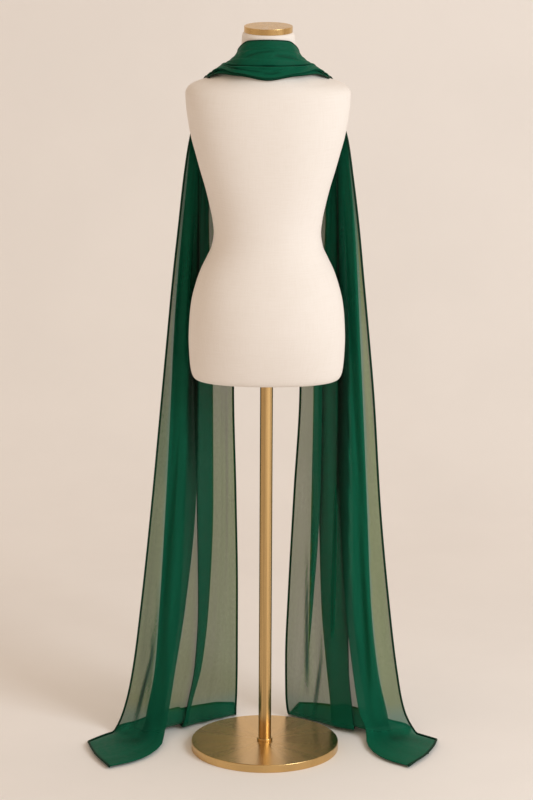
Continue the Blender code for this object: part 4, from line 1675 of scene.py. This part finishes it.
    def build(self, weave: bpy.types.NodeTree) -> None:
        """Builds the three stretches of cloth and their hems.

        Args:
            weave: The plain weave group.
        """
        points, rows, shares, left, right = self.surface()
        along, across = np.gradient(points, axis=0), np.gradient(points, axis=1)
        normals = np.cross(across, along)
        normals /= np.maximum(np.linalg.norm(normals, axis=-1, keepdims=True), 1e-12)
        crowd = sum(crease.crowd * crease.share(points) for crease in TAIL_CREASES)
        # gather sets how dense the cloth is; the other two paint shade and glow into its colour.
        attributes = {
            "gather": self.gather(points, crowd),
            "painted_shade": self.painted_shade(points, shares, crowd),
            "painted_glow": self.painted_glow(points, rows, crowd),
        }
        cloth, hem = self.chiffon.material(weave), self.hem.material()
        stretches = {
            "left_tail": slice(0, left + 1),
            "nape": slice(left, right + 1),
            "right_tail": slice(right, len(points)),
        }
        for name, part in stretches.items():
            cut_across, cut_along = self.flat_cut(points[part])
            uv = np.stack(np.meshgrid(cut_across, cut_along), axis=-1) * CUT_SCALE
            mesh = sheet_mesh(f"chiffon_{name}", points[part], normals[part], uv)
            for key, values in attributes.items():
                data = mesh.attributes.new(key, "FLOAT", "POINT").data
                data.foreach_set("value", values[part].ravel())
            piece = add_piece(mesh, cloth)
            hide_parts(f"scarf_{name}")
            radius = self.nape_hem_radius if name == "nape" else self.hem_radius
            paths = self.hem_paths(name, points[part])
            edge = add_piece(cord_mesh(f"rolled_hem_{name}", paths, radius), hem)


# ---------------------------------------------------------------- the stand


@dataclass
class Stand:
    """The brass base plate, pole, collar and neck cap, which keep their own solids.

    Attributes:
        turned: The finish of what is brushed round the axis.
        drawn: The finish of the pole, brushed along it.
    """

    # The contrast sets the bands that are partly painted reflection.
    turned: Brass = Brass(Brushing.LATHE, roughness=0.27, grain=0.1, contrast=0.88)
    drawn: Brass = Brass(Brushing.UPRIGHT, roughness=0.22, grain=0.3, contrast=0.66)

    def dress(self, brushed: bpy.types.NodeTree) -> None:
        """Puts the metal on the solids.

        Args:
            brushed: The brushing group.
        """
        turned, drawn = self.turned.material(brushed), self.drawn.material(brushed)
        finishes = {"base_plate": turned, "pole_collar": turned, "neck_cap": turned, "pole": drawn}
        for node, material in finishes.items():
            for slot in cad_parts[node].material_slots:
                slot.material = material
            log.info("%s: dressed in %s", node, material.name)


# ---------------------------------------------------------------- the studio


@dataclass
class Studio:
    """A plain pale sweep, soft light and the camera.

    Attributes:
        camera_height: Height of the camera.
        camera_distance: How far behind the form it stands.
        pitch: How far down it looks, in radians.
        roll: How far it is turned, in radians.
        focal_length: Of its lens, in millimetres.
        sweep_start: How far in front of the form the floor starts to rise.
        sweep_radius: Radius of the floor's turn into the wall.
        sweep_reach: Half the length of floor and wall together.
        sweep_half_width: Half their width.
        sweep_gap: How far the floor lies below the object.
        plaster_colour: The sweep's colour.
        plaster_shade: The colour of its darker clouds.
        key_place: Where the lamp stands.
        key_target: What it points at.
        key_size: Its width and height.
        key_power: Its power, in watts.
        key_colour: Its light's colour.
        room_colour: Colour of the light from all round.
        room_strength: Its strength.
    """

    camera_height: float = 2.9486
    camera_distance: float = 8.0415
    pitch: float = 0.26006
    roll: float = 0.005236
    focal_length: float = 170.424
    sweep_start: float = 1.6
    sweep_radius: float = 1.2
    sweep_reach: float = 9.0
    sweep_half_width: float = 8.0
    sweep_gap: float = 0.0004
    plaster_colour: Colour = (0.920, 0.895, 0.885)
    plaster_shade: Colour = (0.895, 0.870, 0.860)
    key_place: tuple[float, float, float] = (3.6, -3.2, 3.2)
    key_target: tuple[float, float, float] = (0.0, 0.0, 0.9)
    key_size: tuple[float, float] = (2.4, 2.8)
    key_power: float = 150.0
    key_colour: Colour = (0.867, 0.947, 1.0)
    room_colour: Colour = (1.0, 0.803, 0.620)
    room_strength: float = 0.66

    def add_camera(self) -> None:
        """Adds the camera and makes it the scene's."""
        data = bpy.data.cameras.new("camera")
        data.lens = self.focal_length
        data.sensor_width = 36.0
        data.sensor_fit = "AUTO"
        camera = placed("camera", data)
        turn = Matrix.Rotation(np.pi / 2.0 - self.pitch, 4, "X") @ Matrix.Rotation(self.roll, 4, "Z")
        place = Matrix.Translation((0.0, -self.camera_distance, self.camera_height))
        camera.matrix_world = place @ turn
        bpy.context.scene.camera = camera

    def add_sweep(self) -> None:
        """Adds the floor and the wall behind it, as one sheet with a round turn."""
        bm = bmesh.new()
        bmesh.ops.create_grid(bm, x_segments=8, y_segments=60, size=1.0)
        bend = self.sweep_radius * np.pi / 2.0
        for vertex in bm.verts:
            along = vertex.co.y * self.sweep_reach
            past = along - self.sweep_start
            if past <= 0.0:
                y, z = along, 0.0
            elif past < bend:
                turn = past / self.sweep_radius
                y = self.sweep_start + self.sweep_radius * np.sin(turn)
                z = self.sweep_radius * (1.0 - np.cos(turn))
            else:
                y, z = self.sweep_start + self.sweep_radius, self.sweep_radius + past - bend
            vertex.co = (vertex.co.x * self.sweep_half_width, y, z - self.sweep_gap)
        mesh = finished("sweep", bm)
        mesh.shade_smooth()
        mesh.materials.append(self.plaster())
        placed("sweep", mesh)

    def plaster(self) -> bpy.types.Material:
        """The sweep's finish: matt, and clear from behind so that it hides no view.

        Returns:
            The material.
        """
        material, graph, shader = new_material("warm plaster")
        place = graph.node("ShaderNodeTexCoord").outputs["Object"]
        cloud = graph.ramp(graph.noise(place, 1.6, 5.0), 0.35, 0.65, 0.0, 1.0)
        graph.feed(shader, {
            "Base Color": graph.blend(cloud, self.plaster_shade, self.plaster_colour),
            "Roughness": 0.9,
            "Specular IOR Level": 0.1,
        })
        behind = graph.maths(
            "MULTIPLY",
            graph.node("ShaderNodeNewGeometry").outputs["Backfacing"],
            graph.node("ShaderNodeLightPath").outputs["Is Camera Ray"],
        )
        clear = graph.node("ShaderNodeBsdfTransparent").outputs[0]
        mixed = graph.node("ShaderNodeMixShader", {0: behind, 1: shader.outputs[0], 2: clear})
        graph.feed(graph.tree.nodes["Material Output"], {"Surface": mixed.outputs[0]})
        return material

    def add_lights(self) -> None:
        """Adds one soft lamp and the room's own light."""
        data = bpy.data.lights.new("key", "AREA")
        data.shape = "RECTANGLE"
        data.size, data.size_y = self.key_size
        data.energy = self.key_power
        data.color = self.key_colour
        place = Vector(self.key_place)
        look = (Vector(self.key_target) - place).to_track_quat("-Z", "Y").to_matrix().to_4x4()
        placed("key", data).matrix_world = Matrix.Translation(place) @ look
        world = bpy.data.worlds.new("room")
        world.use_nodes = True
        background = world.node_tree.nodes["Background"]
        background.inputs["Color"].default_value = (*self.room_colour, 1.0)
        background.inputs["Strength"].default_value = self.room_strength
        bpy.context.scene.world = world

    def build(self) -> None:
        """Sets up the whole studio."""
        scene = bpy.context.scene
        scene.view_settings.view_transform = "Standard"
        scene.cycles.transparent_max_bounces = 32
        self.add_camera()
        self.add_sweep()
        self.add_lights()
        log.info("studio set")


# ---------------------------------------------------------------- all together


def main() -> None:
    """Builds each sub-assembly in order."""
    logging.basicConfig(level=logging.INFO, format="%(message)s")
    Studio().build()
    weave = weave_group()
    Stand().dress(brushed_group())
    DressForm().build(weave)
    Scarf().build(weave)


if __name__ == "__main__":
    main()
